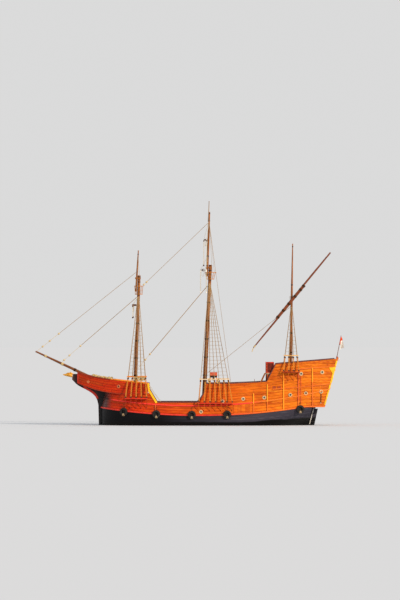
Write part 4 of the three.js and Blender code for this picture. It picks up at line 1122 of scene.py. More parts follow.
def makeCastleSides():
    stations = spread(castle["aftX"], castle["foreX"], 44)
    toBow = stations + [13.31]
    aft = [x for x in stations if x <= castle["railJoint"]]
    forward = toBow[len(aft):]

    def height(x, row):
        low, high = castleBottomZ(x), castleTopZ(x)
        return low + (high - low) * row[0] / castle["strakes"]

    def face(x, z):
        return max(sideHalf(x, z), castleHalf(x) - 0.01 if z > 3.35 else 0)

    shape = slab(
        stations,
        strakeRows(castle["strakes"]),
        lambda x, row: (x, castleHalf(x) + row[1], height(x, row)),
        lambda x, row: (x, castleHalf(x) - castle["panel"], height(x, row)),
        lambda x, row: (x, row[0] + strakes["castleRow"]),
    )
    for word, side in sides.items():
        mesh = toMesh("castle", shape)
        if side == starboard:
            mesh = mirrored(mesh)
        node = "forecastle_side_" + word.lower()
        putPiece("ForecastleSide" + word, mesh, larchStrakes, stands=node)
        for name, along, lineAt, low, high, out, material in [
            ("CastleRailAft", aft + forward[:1], castleTopZ, 0.0, 0.08, 0.05, goldOil),
            ("CastleRailFore", forward, castleTopZ, -0.03, 0.075, 0.05, redOil),
            ("CastleSill", toBow, castleBottomZ, -0.03, 0.05, 0.045, redOil),
        ]:
            section = [(out - 0.012, low), (out, low + 0.012), (out, high - 0.012), (out - 0.012, high)]
            section += [(-0.1, high), (-0.1, low)]
            rail, rings = newShape(), []
            for x in along:
                rings.append([(x, side * (castleHalf(x) + reach), lineAt(x) + z) for reach, z in section])
            addRings(rail, rings)
            putPiece(name + word, rail, material, crease=28)
        board = sideStrip(castle["edgeBoard"], boardSection(0.21, 0.055), face, side)
        putPiece("CastleEdgeBoard" + word, board, yellowPaint, crease=28)
        section = boardSection(0.2, 0.015)
        lining = sideStrip(castle["edgeBoard"], section, lambda x, z: face(x, z) - 0.017, side)
        putPiece("CastleEdgeLining" + word, lining, capOak, crease=28)
        section = [(0.005, 0.1), (0.005, 0.168), (0.23, 0.168), (0.23, 0.1)]
        knee = sideStrip(castle["kneeEdge"], section, lambda x, z: 0, side)
        putPiece("KneeTrim" + word, knee, waleRed, crease=40)


makeCastleSides()

# Masts and spars

masts = {
    "fore": {"heel": (7.37, 1.504), "head": (6.85, 15.6), "radii": [0.19, 0.185, 0.165, 0.14]},
    "main": {"heel": (0.18, 1.416), "head": (-0.57, 16.7), "radii": [0.215, 0.21, 0.19, 0.16]},
    "mizzen": {"heel": (-8.87, 3.704), "head": (-9.13, 18.9), "radii": [0.15, 0.14, 0.11, 0.05]},
    "foreTop": {"heel": (7.19, 13.9), "head": (6.94, 18.2), "radii": [0.095, 0.09, 0.05]},
    "mainTop": {"heel": (-0.213, 15.48), "head": (-0.47, 22.2), "radii": [0.115, 0.11, 0.075]},
}
caps = {"fore": (15.3, 0.248), "main": (16.4, 0.307)}  # height, reach forward
bands = {"width": 0.09, "proud": 0.012, "turns": 5}


def mastAt(name, z):
    (x0, z0), (x1, z1) = masts[name]["heel"], masts[name]["head"]
    return Vector((x0 + (x1 - x0) * (z - z0) / (z1 - z0), 0, z))


def radiusAt(name, z):
    z0, z1, radii = masts[name]["heel"][1], masts[name]["head"][1], masts[name]["radii"]
    place = (z - z0) / (z1 - z0) * (len(radii) - 1)
    k = min(len(radii) - 2, int(place))
    return radii[k] + (radii[k + 1] - radii[k]) * (place - k)


def makeMast(name, piece, node, wooldings, hoops, pole=None, collarZ=None):
    (x0, z0), (x1, z1) = masts[name]["heel"], masts[name]["head"]
    heel, head = Vector((x0, 0, z0)), Vector((x1, 0, z1))
    up = (head - heel).normalized()
    stick = newShape()
    addSpar(stick, heel, head, masts[name]["radii"], 28, 6)
    if name in caps:
        height, reach = caps[name]
        x = mastAt(name, height).x
        addBlock(stick, (x - 0.17, -0.17, height - 0.09), (x + reach + 0.17, 0.17, height + 0.09), 0.04)
    putPiece(piece, stick, sparPine, stands=node, crease=40)
    if pole:
        tip = newShape()
        addSpar(tip, *pole)
        ball = [(0.012, -0.03), (0.06, -0.015), (0.06, 0.012), (0.02, 0.02)]
        addLathe(tip, ball, pole[1], (0, 0, 1), 20)
        putPiece(piece + "Pole", tip, palePine, stands=node)
    if collarZ:  # the oak collar that closes the hole in the deck round the mast
        collar, r = newShape(), radiusAt(name, collarZ)
        profile = [(r - 0.004, -0.04), (0.3, -0.04), (0.3, 0.03), (0.285, 0.045)]
        profile += [(r + 0.04, 0.06), (r + 0.025, 0.11), (r - 0.004, 0.115)]
        addHoop(collar, profile, mastAt(name, collarZ), (0, 0, 1), 28)
        putPiece(piece + "Collar", collar, capOak, crease=30)
    if wooldings:
        turns = newShape()
        for z in wooldings:
            for k in range(bands["turns"]):
                at = z + (k - bands["turns"] / 2) * 0.032
                profile = roundProfile(radiusAt(name, at) + 0.006, 0.017, 6)
                addHoop(turns, profile, mastAt(name, at), up, 24)
        putPiece(piece + "Wooldings", turns, darkHemp)
    rings = newShape()
    for z in hoops:
        r, w, proud = radiusAt(name, z), bands["width"] / 2, bands["proud"]
        profile = [(r - 0.01, -w), (r + proud, -w), (r + proud, w), (r - 0.01, w)]
        addHoop(rings, profile, mastAt(name, z), up, 28)
    putPiece(piece + "Hoops", rings, iron)


makeMast("fore", "ForeMast", "fore_lower_mast", [5.2, 7.0, 8.8, 10.6], [13.0, 14.9, 15.45], None, 3.58)
makeMast("main", "MainMast", "main_lower_mast", [5.2, 7.1, 9.0, 10.9, 12.8], [14.4, 16.1, 16.6], None, 1.4)
makeMast("mizzen", "MizzenMast", "mizzen_mast", [7.6, 9.6], [12.1, 14.6, 18.6], None, 5.65)
makeMast("foreTop", "ForeTopmast", "fore_topmast", [], [14.1, 17.8])
flagpole = ((-0.35, 0, 21.15), (-0.43, 0, 23.3), [0.058, 0.035], 16)
makeMast("mainTop", "MainTopmast", "main_topmast", [], [15.7, 17.6, 21.3, 22.05], flagpole)


def makeTop(name, node, sizes):
    (fx, fz), (rx, rz) = sizes["floor"], sizes["rim"]
    low, high = sizes["floorRadius"], sizes["rimRadius"]
    boards = newShape()
    addLathe(boards, [(low - 0.03, 0.0), (low - 0.03, 0.04)], (fx, 0, fz + 0.01), (0, 0, 1), 28)
    putPiece(name + "Floor", boards, larchLevel, stands=node)
    hoops = newShape()
    for x, z, radius, half in ((fx, fz + 0.03, low, 0.035), (rx, rz, high, 0.032)):
        section = barSection(radius, half, half * 0.4, 0.012, radius - 0.055)
        addHoop(hoops, section, (x, 0, z), (0, 0, 1), 32)
    section = roundProfile((low + high) / 2 - 0.015, 0.014, 6)
    addHoop(hoops, section, ((fx + rx) / 2, 0, (fz + rz) / 2), (0, 0, 1), 32)
    putPiece(name + "Hoops", hoops, topOak, stands=node)
    post, places = newShape(), []
    addBlock(post, (-0.02, -0.024, 0), (0.02, 0.024, hypot(rz - fz, high - low)), 0.006)
    lean = atan2(high - low, rz - fz)
    for k in range(10):
        turn = 2 * pi * (k + 0.5) / 10
        foot = (fx + (low - 0.03) * cos(turn), (low - 0.03) * sin(turn), fz + 0.03)
        places.append((foot, (0, lean, turn), (1, 1, 0.96)))
    mesh = copiesAt(post, places, topOak)
    putPiece(name + "Posts", mesh, topOak, stands=node)


tops = {
    "ForeTop": {"floor": (6.9, 13.6), "rim": (6.9, 14.48), "floorRadius": 0.4, "rimRadius": 0.49},
    "MainTop": {"floor": (-0.56, 15.18), "rim": (-0.6, 15.9), "floorRadius": 0.4, "rimRadius": 0.59},
}

makeTop("ForeTop", "fore_top", tops["ForeTop"])
makeTop("MainTop", "main_top", tops["MainTop"])

yards = {
    "name": ("ForeYard", "MainYard", "TopsailYard"),
    "body": ("fore_yard", "main_yard", "main_topsail_yard"),
    "mast": ("fore", "mainTop", "mainTop"),
    "z": (12.5, 16.15, 19.3),
    "forward": (0.54, 0.4, 0.33),
    "half": (4.0, 5.0, 2.6),
    "radii": ([0.05, 0.105], [0.06, 0.13], [0.035, 0.075]),
    "braced": (0, 3.5, 3.5),
    "plain": (3.6, 1.3, 1.9),
    "arms": (darkSpar, whitePaint, whitePaint),
    "blocks": (elm, whitePaint, elm),
    "tackle": (1.2, 2.25, 2.6),
    "liftZ": (13.45, 17.6, 21.4),
}
yardFittings = {"horse": 0.013, "sag": 0.55, "lift": 0.012}


def heart(size):  # profile of a pear-shaped block
    profile = [(0.35, -1.1), (0.75, -0.8), (0.95, -0.2), (0.85, 0.35), (0.5, 0.85), (0.25, 1.1)]
    return [(r * size, h * size) for r, h in profile]


def makeYard(yard):
    name, body, z = yard["name"], yard["body"], yard["z"]
    half, plain, (thin, thick) = yard["half"], yard["plain"], yard["radii"]
    axis, tip = mastAt(yard["mast"], z), mastAt(yard["mast"], yard["liftZ"])
    x, joint = axis.x + yard["forward"], thick + (thin - thick) * plain / half
    stick = newShape()
    addSpar(stick, (x, -plain, z), (x, plain, z), [joint, thick, joint], 24, 4)
    saddle, wide = axis.x + radiusAt(yard["mast"], z) + 0.02, thick + 0.06
    addBlock(stick, (saddle, -wide, z - 0.09), (x - 0.02, wide, z + 0.09), 0.03)
    arms, irons, ropes, blocks = newShape(), newShape(), newShape(), newShape()
    for end in (-1, 1):
        addSpar(arms, (x, end * plain, z), (x, end * half, z), [joint, thin], 24, 6)
        points = [(x - 0.05, end * 0.2, z - 0.05)]
        for share in spread(0, 1, 9):  # foot rope
            sag = yardFittings["sag"] * (1 - (2 * share - 1) ** 2) + 0.12
            points.append((x - 0.09, end * (0.25 + (half - 0.55) * share), z - sag))
        points.append((x, end * (half - 0.25), z - 0.02))
        addTube(ropes, points, yardFittings["horse"], 6)
        lift = [(x, end * (half - 0.3), z + thin), (tip.x, end * 0.04, tip.z)]
        addTube(ropes, lift, yardFittings["lift"], 6)
        y, drop = end * (half - 0.12), yard["tackle"]
        for shift in (-0.03, 0.03):  # the clew line, hauled up and left hanging in its block
            addTube(ropes, [(x + shift, y, z - thin), (x + shift, y, z - drop)], 0.014, 6)
        addLathe(blocks, heart(0.08), (x, y, z - drop - 0.07), (0, 0, 1), 12)
        addLathe(blocks, heart(0.07), (x, y, z - thin - 0.07), (0, 0, 1), 12)
    for y in (-half * 0.5, -wide - 0.02, wide + 0.02, half * 0.5):
        r = thin + (thick - thin) * (1 - abs(y) / half) + 0.01
        section = [(r - 0.02, -0.03), (r, -0.03), (r, 0.03), (r - 0.02, 0.03)]
        addHoop(irons, section, (x, y, z), (0, 1, 0), 24)
    turn = Matrix.Rotation(radians(yard["braced"]), 3, "Z")  # braced round about the mast
    for piece, shape, material, stands, slot in [
        ("", stick, darkSpar, body, "spar_wood"),
        ("Arms", arms, yard["arms"], body, "spar_wood"),
        ("Bands", irons, iron, (), None),
        ("Ropes", ropes, paleHemp, (), "rope"),
        ("Blocks", blocks, yard["blocks"], (), None),
    ]:
        centre = Vector((axis.x, 0, 0))
        shape["verts"] = [tuple(centre + turn @ (Vector(at) - centre)) for at in shape["verts"]]
        putPiece(name + piece, shape, material, body, stands)


for yard in byColumn(yards):
    makeYard(yard)

lateen = {
    "crossing": (-9.01, 13.24),
    "low": (-5.05, 0.33, 8.07),
    "high": (-13.16, 0.33, 17.9),
    "shift": (0.095, 0, 0.076),
    "lower": [0.06, 0.095, 0.105, 0.085],
    "upper": [0.085, 0.105, 0.1, 0.075],
    "lashings": (0.32, 0.39, 0.46, 0.54, 0.61, 0.65),
}


def wrapAround(shape, middle, along, wide, reach, stretch, rope=0.016):  # one turn round two spars
    turn, rings = upright.rotation_difference(along), []
    across = turn.inverted() @ wide
    for x, y in circle(1, 20):
        out = Vector((x, y, 0))
        far = reach + stretch * abs(out.dot(across))
        rings.append([middle + turn @ (out * (far + c) + upright * s) for c, s in circle(rope, 5)])
    addRings(shape, rings, loop=True)


def makeLateen():
    low, high, shift = Vector(lateen["low"]), Vector(lateen["high"]), Vector(lateen["shift"])
    along = (high - low).normalized()
    stick, lashings, parrel, tack = newShape(), newShape(), newShape(), newShape()
    addSpar(stick, low, low.lerp(high, 0.66), lateen["lower"], 20, 4)
    addSpar(stick, low.lerp(high, 0.3) + shift, high + shift, lateen["upper"], 20, 4)
    putPiece("LateenYard", stick, redSpar, "lateen_yard", "lateen_yard")
    for share in lateen["lashings"]:
        for k in range(6):
            middle = low.lerp(high, share) + along * 0.034 * (k - 2.5) + shift * 0.5
            wrapAround(lashings, middle, along, shift.normalized(), 0.112, 0.058)
    putPiece("LateenLashings", lashings, darkHemp, "lateen_yard")
    x, z = lateen["crossing"]
    for lift in (-0.12, 0.0, 0.12):
        loop = [(0.2, 0.3), (0.2, 0.02), (0.03, -0.17), (-0.17, 0.02), (-0.17, 0.3)]
        addTube(parrel, [(x + px, py, z + lift) for px, py in loop], 0.024, 8)
    putPiece("LateenParrel", parrel, tarredHemp, "lateen_yard")
    for k in range(7):  # the tack tackle, coiled up at the spar's lower end
        addHoop(tack, roundProfile(0.075, 0.016, 6), low + along * (0.1 + 0.035 * k), along, 20)
    for step in (-0.04, 0.0, 0.04):
        foot = low + Vector((0.16 + step, 0, -0.42 - abs(step)))
        addTube(tack, [low + along * 0.2, low + Vector((0.05 + step, 0, -0.12)), foot], 0.016, 6)
    putPiece("LateenTack", tack, paleTwine, "lateen_yard")


makeLateen()


def makeCastleCoils():
    coil, places = newShape(), []
    for turn in range(4):
        section = roundProfile(0.15 - 0.02 * (turn % 2), 0.021, 6)
        addHoop(coil, section, (0.01 * (turn % 3), 0, 0.02 + 0.033 * turn), (0, 0, 1), 20)
    addHoop(coil, roundProfile(0.09, 0.02, 6), (0.02, 0, 0.15), (0.25, 0.1, 1), 16)
    for side in sides.values():
        for k, x in enumerate(spread(11.6, 9.75, 8)):
            point = (x, side * (castleHalf(x) - 0.03), castleTopZ(x) + 0.085)
            turn = (0.12 * (k % 3 - 1), 0.15 * (k % 2) - 0.05, 0.9 * k)
            places.append((point, turn, (0.95, 0.72, 0.8)))
    putPiece("CastleCoils", copiesAt(coil, places, paleTwine, 0.25), paleTwine)


def makeBowsprit():
    stick, collars, gammoning = newShape(), newShape(), newShape()
    heel, head = Vector((9.45, 0, 3.835)), Vector((17.65, 0, 7.68))
    addSpar(stick, heel, head, [0.15, 0.15, 0.125, 0.08], 24, 5)
    putPiece("Bowsprit", stick, sparPine, stands="bowsprit")
    along = (head - heel).normalized()
    for share, radius, shape in ((0.66, 0.14, collars), (0.873, 0.115, collars), (0.5, 0.155, gammoning)):
        for k in range(6):
            centre = heel.lerp(head, share) + along * 0.04 * (k - 2.5)
            addHoop(shape, roundProfile(radius, 0.021, 6), centre, along, 24)
    putPiece("BowspritCollars", collars, paleTwine)
    putPiece("BowspritGammoning", gammoning, darkHemp)


makeBowsprit()
print("spars ready")

# Rigging

gangs = {
    "name": ("Fore", "Main", "Mizzen"),
    "houndsZ": (13.35, 14.75, 12.3),
    "houndsY": (0.168, 0.19, 0.125),
    "fromX": (8.35, 0.74, -8.05),
    "toX": (5.95, -2.95, -9.85),
    "z": (2.8, 2.33, 5.56),
    "count": (5, 7, 4),
    "poleZ": (5.05, 4.8, 7.25),
    "chainZ": (1.9, 1.62, 4.75),
    "rope": (0.024, 0.026, 0.02),
    "chains": (redOil, plankOil, plankOil),
    "channel": (waleRed, waleRed, redOil),
    "pole": (goldOil, creamPaint, strawPaint),
    "hanks": ((0.42, 0.55, 0.67, 0.8, 0.92), (0.3, 0.64), ()),
}
deadeye = {"radius": 0.09, "thick": 0.085, "lanyard": 0.015, "ratlineStep": 0.39, "ratline": 0.007}


def deadeyeShape():
    shape = newShape()
    r, t = deadeye["radius"], deadeye["thick"] / 2
    profile = [(r * 0.82, -t), (r, -t * 0.45), (r * 0.9, 0), (r, t * 0.45), (r * 0.82, t)]
    addLathe(shape, profile, (0, 0, 0), (0, 0, 1), 12)
    return shape


def hankShape():  # a rope coiled up and hung by its bight
    shape = newShape()
    for turn in range(4):
        wide, drop = 0.075 + 0.018 * turn, 0.32 + 0.035 * turn
        loop = []
        for k in range(13):
            angle = 2 * pi * k / 12
            y = 0.02 * (turn - 1.5) + 0.012 * sin(3 * angle)
            loop.append((wide * sin(angle), y, drop * (cos(angle) - 1) / 2))
        addTube(shape, loop, 0.016, 5)
    for lift in (-0.1, -0.13, -0.16):
        addHoop(shape, roundProfile(0.07, 0.015, 5), (0, 0, lift), (0, 0, 1), 10)
    return shape


def makeGang(gang, word, side):
    name, z, topZ, count = gang["name"], gang["z"], gang["houndsZ"], gang["count"]
    node = f"{name.lower()}_shrouds_{word.lower()}"
    channel, rings = newShape(), []
    for x in spread(gang["toX"], gang["fromX"], 12):
        inner = sideHalf(x, z) + 0.004
        section = barSection(0.64, 0.038, 0.018, 0.015)
        rings.append([(x, side * (inner + out), z + lift) for out, lift in section])
    addRings(channel, rings)
    putPiece(f"{name}Channel{word}", channel, gang["channel"], stands=node)

    hounds, wide = mastAt(name.lower(), topZ), Vector((1, 0, 0))
    shrouds, chains, plates = newShape(), newShape(), newShape()
    lanyards, eyes, lines = [], [], []
    for share in spread(0, 1, count):
        x = gang["fromX"] - 0.09 + (gang["toX"] - gang["fromX"] + 0.18) * share
        foot = Vector((x, side * (sideHalf(x, z) + 0.574), z))
        head = Vector((hounds.x + 0.07 - 0.14 * share, side * (gang["houndsY"] + 0.045), topZ))
        lines.append((foot, head))
        along = (head - foot).normalized()
        lower = foot + along * 0.16
        upper = foot.lerp(head, (gang["poleZ"] - 0.2 - z) / (topZ - z))
        addTube(shrouds, [upper, head], gang["rope"], 10)
        face = along.cross(wide).normalized()
        turn = tuple(upright.rotation_difference(face).to_euler())
        eyes += [(lower, turn, 1.0), (upper, turn, 1.0)]
        for shift in (-0.045, 0, 0.045):
            for off in (-0.028, 0.028):
                offset = wide * shift + face * off
                lanyards.append((lower + offset, upper + offset))
        chain = Vector((x, side * (sideHalf(x, gang["chainZ"]) + 0.09), gang["chainZ"]))
        for shift in (-0.032, 0.032):
            addTube(chains, [point + wide * shift for point in (lower, foot, chain)], 0.016, 6)
        addTube(plates, [chain + upright * 0.06, chain - upright * 0.1], 0.034, 8)
    putPiece(f"{name}Shrouds{word}", shrouds, tarredHemp, stands=node)
    putPiece(f"{name}Chains{word}", chains, gang["chains"], stands=node)
    putPiece(f"{name}ChainPlates{word}", plates, gang["chains"], stands=node)
    putPiece(f"{name}Deadeyes{word}", copiesAt(deadeyeShape(), eyes, elm), elm)
    mesh = ropesOn(lanyards, deadeye["lanyard"], ochreTwine)
    putPiece(f"{name}Lanyards{word}", mesh, ochreTwine)

    steps, height = [], gang["poleZ"] + deadeye["ratlineStep"]
    while height < topZ - 0.7:
        points = [foot.lerp(head, (height - z) / (topZ - z)) for foot, head in lines]
        steps += list(zip(points, points[1:]))
        height += deadeye["ratlineStep"]
    mesh = ropesOn(steps, deadeye["ratline"], twine, 5)
    putPiece(f"{name}Ratlines{word}", mesh, twine)

    ends = [foot.lerp(head, (gang["poleZ"] - z) / (topZ - z)) for foot, head in lines]
    first, last = ends[0], ends[-1]
    reach = (last - first).normalized() * 0.14
    pole = newShape()
    addTube(pole, [first - reach, last + reach], gang["rope"] * 1.6, 10)
    putPiece(f"{name}SheerPole{word}", pole, gang["pole"], stands=node)
    hanks = []
    for share in gang["hanks"]:
        point = first.lerp(last, share) + Vector((0, side * 0.05, 0.03))
        hanks.append((point, (0.0, 0.0, 0.05 * (len(hanks) - 1)), 1.0))
    if hanks:
        mesh = copiesAt(hankShape(), hanks, paleTwine, 0.12)
        putPiece(f"{name}Hanks{word}", mesh, paleTwine)


for gang in byColumn(gangs):
    for word, side in sides.items():
        makeGang(gang, word, side)

stays = {  # node, lower end, upper end, radius, blocks of the tackle at its foot
    "ForeStay": ("fore_stay", (14.9, 6.58), (7.13, 13.3), 0.028, (0.3, 1.05, 2.55)),
    "ForeTopmastStay": ("fore_topmast_stay", (17.45, 7.75), (7.195, 15.9), 0.022, (0.7, 1.64, 2.85)),
    "MainStay": ("main_stay", (6.985, 5.9), (-0.25, 14.5), 0.034, (1.2, 1.95)),
    "MainTopmastStay": ("main_topmast_stay", (6.44, 14.56), (-0.32, 21.05), 0.022, (0.12, 0.5)),
}


def makeStays():
    for name, (node, low, high, radius, lifts) in stays.items():
        low, high = Vector((low[0], 0, low[1])), Vector((high[0], 0, high[1]))
        along = (high - low).normalized()
        start = low + along * (lifts[-1] + 0.05)
        rope, blocks, parts = newShape(), newShape(), []
        addTube(rope, [start, high], radius, 10)
        putPiece(name, rope, tarredHemp, stands=node)
        for shift in (-0.045, -0.015, 0.015, 0.045):  # the tackle that sets the stay up
            beside = Vector((0, shift, 0))
            parts.append((low + beside, start + beside))
        putPiece(name + "Tackle", ropesOn(parts, 0.016, paleTwine), paleTwine)
        for lift in lifts:
            addLathe(blocks, heart(0.11), low + along * lift, along, 16)
        putPiece(name + "Blocks", blocks, ash)


makeStays()


lightRigging = [  # rigging of both sides: lower end, upper end, radius
    ((-0.76, 0.53, 15.9), (-0.45, 0.08, 20.9), 0.013),  # main topmast shrouds
    ((-0.98, 0.4, 15.9), (-0.46, 0.07, 20.9), 0.013),
    ((-1.13, 0.22, 15.9), (-0.47, 0.05, 20.9), 0.013),
    ((7.1, 0.44, 14.48), (6.98, 0.07, 17.6), 0.012),  # fore topmast shrouds
    ((6.75, 0.46, 14.48), (6.96, 0.07, 17.6), 0.012),
    ((-2.68, 3.35, 4.42), (-0.43, 0.09, 21.05), 0.014),  # backstay
]


def makeExtraRigging():
    ropes, hands = newShape(), newShape()
    for side in sides.values():
        for low, high, radius in lightRigging:
            addTube(ropes, [(x, side * y, z) for x, y, z in (low, high)], radius, 6)
        hand = ((5.93, 3.02, 4.36), (5.25, 3.2, 3.25), (4.62, 3.3, 2.46))
        addTube(hands, [(x, side * y, z) for x, y, z in hand], 0.016, 6)
    addTube(ropes, [(-0.22, 0, 5.4), (-8.93, 0, 12.35)], 0.018, 8)  # mizzen stay
    putPiece("TopmastRigging", ropes, tarredHemp)
    putPiece("CastleHandRopes", hands, paleHemp)


makeExtraRigging()
makeCastleCoils()
print("rigging ready")

# Deck gear

shown = [  # the solids that are seen as they are, and their finish
    (hullPaint, "keel_and_stern_post", "rudder"),
    (stemPaint, "stem_and_head_knee"),
    (larchLevel, "transom"),
    (deckPine, "main_deck", "half_deck", "poop_deck", "forecastle_deck"),
    (redPaint, "beak_front"),
    (larchUpright, "forecastle_bulkhead", "half_deck_bulkhead", "poop_bulkhead"),
    (darkOak, "forecastle_door", "half_deck_door", "poop_door", "waist_hatch", "wheel_pedestal"),
    (goldOil, "forecastle_ladder", "half_deck_ladder", "poop_ladder"),
    (bronze, "propeller"),
]
for material, *names in shown:
    for name in names:
        finish = bpy.data.objects[name].data.materials
        finish.clear()
        finish.append(material)

rails = {
    "node": ("forecastle_rail", "half_deck_rail", "poop_rail"),
    "name": ("ForecastleRail", "HalfDeckRail", "PoopRail"),
    "x": (6.01, -0.76, -6.36),
    "half": (3.08, 3.0, 2.72),
    "z": (castleBottomZ(6.01) + 0.28, halfDeckZ(-0.76), poopDeckZ(-6.36)),
    "height": (0.85, 0.87, 1.1),
    "posts": (redPaint, redPaint, redOil),
    "bars": (riderOil, riderOil, redOil),
    "wing": (None, None, (2.4, -7.15)),
}


def balusterShape(height):
    shape = newShape()
    profile = [(0.03, 0), (0.03, 0.1), (0.018, 0.14), (0.034, 0.3), (0.026, 0.42)]
    profile += [(0.016, 0.52), (0.024, 0.6), (0.03, 0.7), (0.03, height)]
    addLathe(shape, profile, (0, 0, 0), (0, 0, 1), 10)
    return shape


overhangShadeBoards = {"fromX": -6.95, "toX": -6.34, "inside": 0.21}  # dark boards below the poop's overhang, painted shade for the recess there


def makeRail(rail):
    name, node, x, z, top = rail["name"], rail["node"], rail["x"], rail["z"], rail["height"]
    frame, posts, boards, places = newShape(), newShape(), newShape(), []
    runs = [((x, -rail["half"]), (x, rail["half"]), 4, 27)]
    if rail["wing"]:
        y, endX = rail["wing"]
        runs += [((endX, side * y), (x - 0.06, side * y), 2, 5) for side in (-1, 1)]
    for (x0, y0), (x1, y1), count, bars in runs:
        wide, deep = (0.055, 0.0) if x0 == x1 else (0.0, 0.04)
        for low, high, slim, chamfer in ((top - 0.07, top, 1.0, 0.012), (0.004, 0.09, 0.64, 0.0)):
            start = (x0 - wide * slim, y0 - deep * slim, z + low)
            addBlock(frame, start, (x1 + wide * slim, y1 + deep * slim, z + high), chamfer)
        for share in spread(0.02, 0.98, count):
            px, py = x0 + (x1 - x0) * share, y0 + (y1 - y0) * share
            high = (px + 0.04, py + 0.04, z + top + 0.005)
            addBlock(posts, (px - 0.04, py - 0.04, z + 0.01), high, 0.01)
        for share in spread(0.5 / bars, 1 - 0.5 / bars, bars):
            point = (x0 + (x1 - x0) * share, y0 + (y1 - y0) * share, z + 0.08)
            places.append((point, (0, 0, 0), 1.0))
        if y0 == y1:  # a wing is boarded up inside its bars, and below the deck down to the bulwark, where the dark board is painted shade
            inner = y0 - copysign(0.05, y0)
            addBlock(boards, (x0, inner - 0.01, z + 0.02), (x1, inner + 0.01, z + top - 0.1), 0.004)
            fromX, toX = overhangShadeBoards["fromX"], overhangShadeBoards["toX"]
            edge = copysign(sideHalf(fromX, 5.0) - overhangShadeBoards["inside"], y0)
            low = (fromX, edge - 0.02, halfDeckZ(x) + 0.005)
            addBlock(boards, low, (toX, edge + 0.02, poopDeckZ(x) - 0.17), 0.004)
    putPiece(name, frame, redPaint, stands=node, bevel=0.004)
    putPiece(name + "Posts", posts, rail["posts"], stands=node)
    if rail["wing"]:
        putPiece(name + "Boards", boards, darkRed)
    mesh = copiesAt(balusterShape(top - 0.14), places, rail["bars"])
    putPiece(name + "Balusters", mesh, rail["bars"], stands=node)


for rail in byColumn(rails):
    makeRail(rail)


wheel = {"x": -5.15, "z": 4.33, "radius": 0.34, "rim": 0.028, "half": 0.024, "spokes": 8}


def makeWheel():
    x, z, half = wheel["x"], wheel["z"], wheel["half"]
    inner, outer = wheel["radius"] - wheel["rim"], wheel["radius"] + wheel["rim"]
    shape = newShape()
    section = [(inner, -half), (outer, -half), (outer, half), (inner, half)]
    addHoop(shape, section, (x, 0, z), (1, 0, 0), 40)
    hub = [(0.02, -0.07), (0.07, -0.06), (0.085, 0), (0.07, 0.06), (0.02, 0.07)]
    addLathe(shape, hub, (x, 0, z), (1, 0, 0), 24)
    addTube(shape, [(x - 0.24, 0, z), (x, 0, z)], 0.024, 16)
    spoke = [(0.012, 0.05), (0.02, 0.12), (0.013, 0.2), (0.02, 0.29)]
    spoke += [(0.016, 0.36), (0.012, 0.38), (0.02, 0.42), (0.014, 0.47)]
    for across, up in circle(1, wheel["spokes"]):
        addLathe(shape, spoke, (x, 0, z), (0, across, up), 12)
    putPiece("SteeringWheel", shape, larchLevel, "steering_wheel", "steering_wheel")


makeWheel()


belfry = {
    "x": -0.88,
    "y": 1.15,
    "half": 0.325,
    "roofZ": 5.18,
    "long": 0.4,
    "eave": 0.43,
    "ridge": 0.07,
    "rise": 0.33,
    "shadeSkirt": 0.21,
    "rows": 5,
    "shingles": 6,
}


def makeBelfry():
    cx, cy, half, top = belfry["x"], belfry["y"], belfry["half"], belfry["roofZ"]
    long, eave, ridge, rise = belfry["long"], belfry["eave"], belfry["ridge"], belfry["rise"]
    frame, beam, shingle, cap = newShape(), newShape(), newShape(), newShape()
    for y in (cy - half, cy + half):
        for x in (cx - half, cx + half):
            foot = halfDeckZ(x - 0.04) + 0.002
            addBlock(frame, (x - 0.04, y - 0.04, foot), (x + 0.04, y + 0.04, top + 0.01), 0.008)
            addBlock(frame, (x - 0.05, y - 0.05, foot), (x + 0.05, y + 0.05, foot + 0.09), 0.01)
        low = (cx - half - 0.05, y - 0.048, top - belfry["shadeSkirt"])  # dark boards below the eaves: painted shade under the roof
        addBlock(beam, low, (cx + half + 0.05, y + 0.048, top + 0.005), 0.006)
    putPiece("BelfryFrame", frame, goldOil, stands="belfry")
    addBlock(beam, (cx - 0.04, cy - half, top - 0.14), (cx + 0.04, cy + half, top - 0.06), 0.01)
    outline = [(0.02 - eave, 0.0), (eave - 0.02, 0.0), (ridge, rise - 0.02), (-ridge, rise - 0.02)]
    for x in (cx - long + 0.03, cx + long - 0.03):  # gable boards
        addRings(beam, [[(x + step, cy + y, top + z) for y, z in outline] for step in (-0.012, 0.012)])
    putPiece("BelfryBeam", beam, darkOak, stands="belfry")
    run, places = eave - ridge, []
    tilt, wide, deep = atan2(rise, run), 2 * long / belfry["shingles"], hypot(run, rise) / belfry["rows"]
    high = (wide / 2 - 0.004, deep * 0.62, 0.016)
    addBlock(shingle, (-high[0], -high[1], 0), high, 0.003)
    for side in (-1, 1):
        for row in range(belfry["rows"]):
            share = (row + 0.5) / belfry["rows"]
            y, z = cy + side * (eave - run * share), top + rise * share - 0.004
            for k in range(belfry["shingles"]):
                point = (cx - long + wide * (k + 0.5), y, z + 0.003 * (k % 2))
                places.append((point, (-side * (tilt - 0.12), 0, 0), 1.0))
    mesh = copiesAt(shingle, places, roofRed)
    putPiece("BelfryShingles", mesh, roofRed, stands="belfry")
    low = (cx - long - 0.005, cy - 0.09, top + rise - 0.03)
    addBlock(cap, low, (cx + long + 0.005, cy + 0.09, top + rise + 0.012), 0.012)
    putPiece("BelfryRidge", cap, redOil, stands="belfry")


makeBelfry()


doors = {  # bulkhead station, sill height, middle of the doorway, height, way it opens
    "forecastle_door": (6.06, 1.412, 0.0, 1.7, -1),
    "half_deck_door": (-0.8, 1.4, -1.5, 1.65, 1),
    "poop_door": (-6.5, halfDeckZ(-6.56), -1.3, 1.5, 1),
}


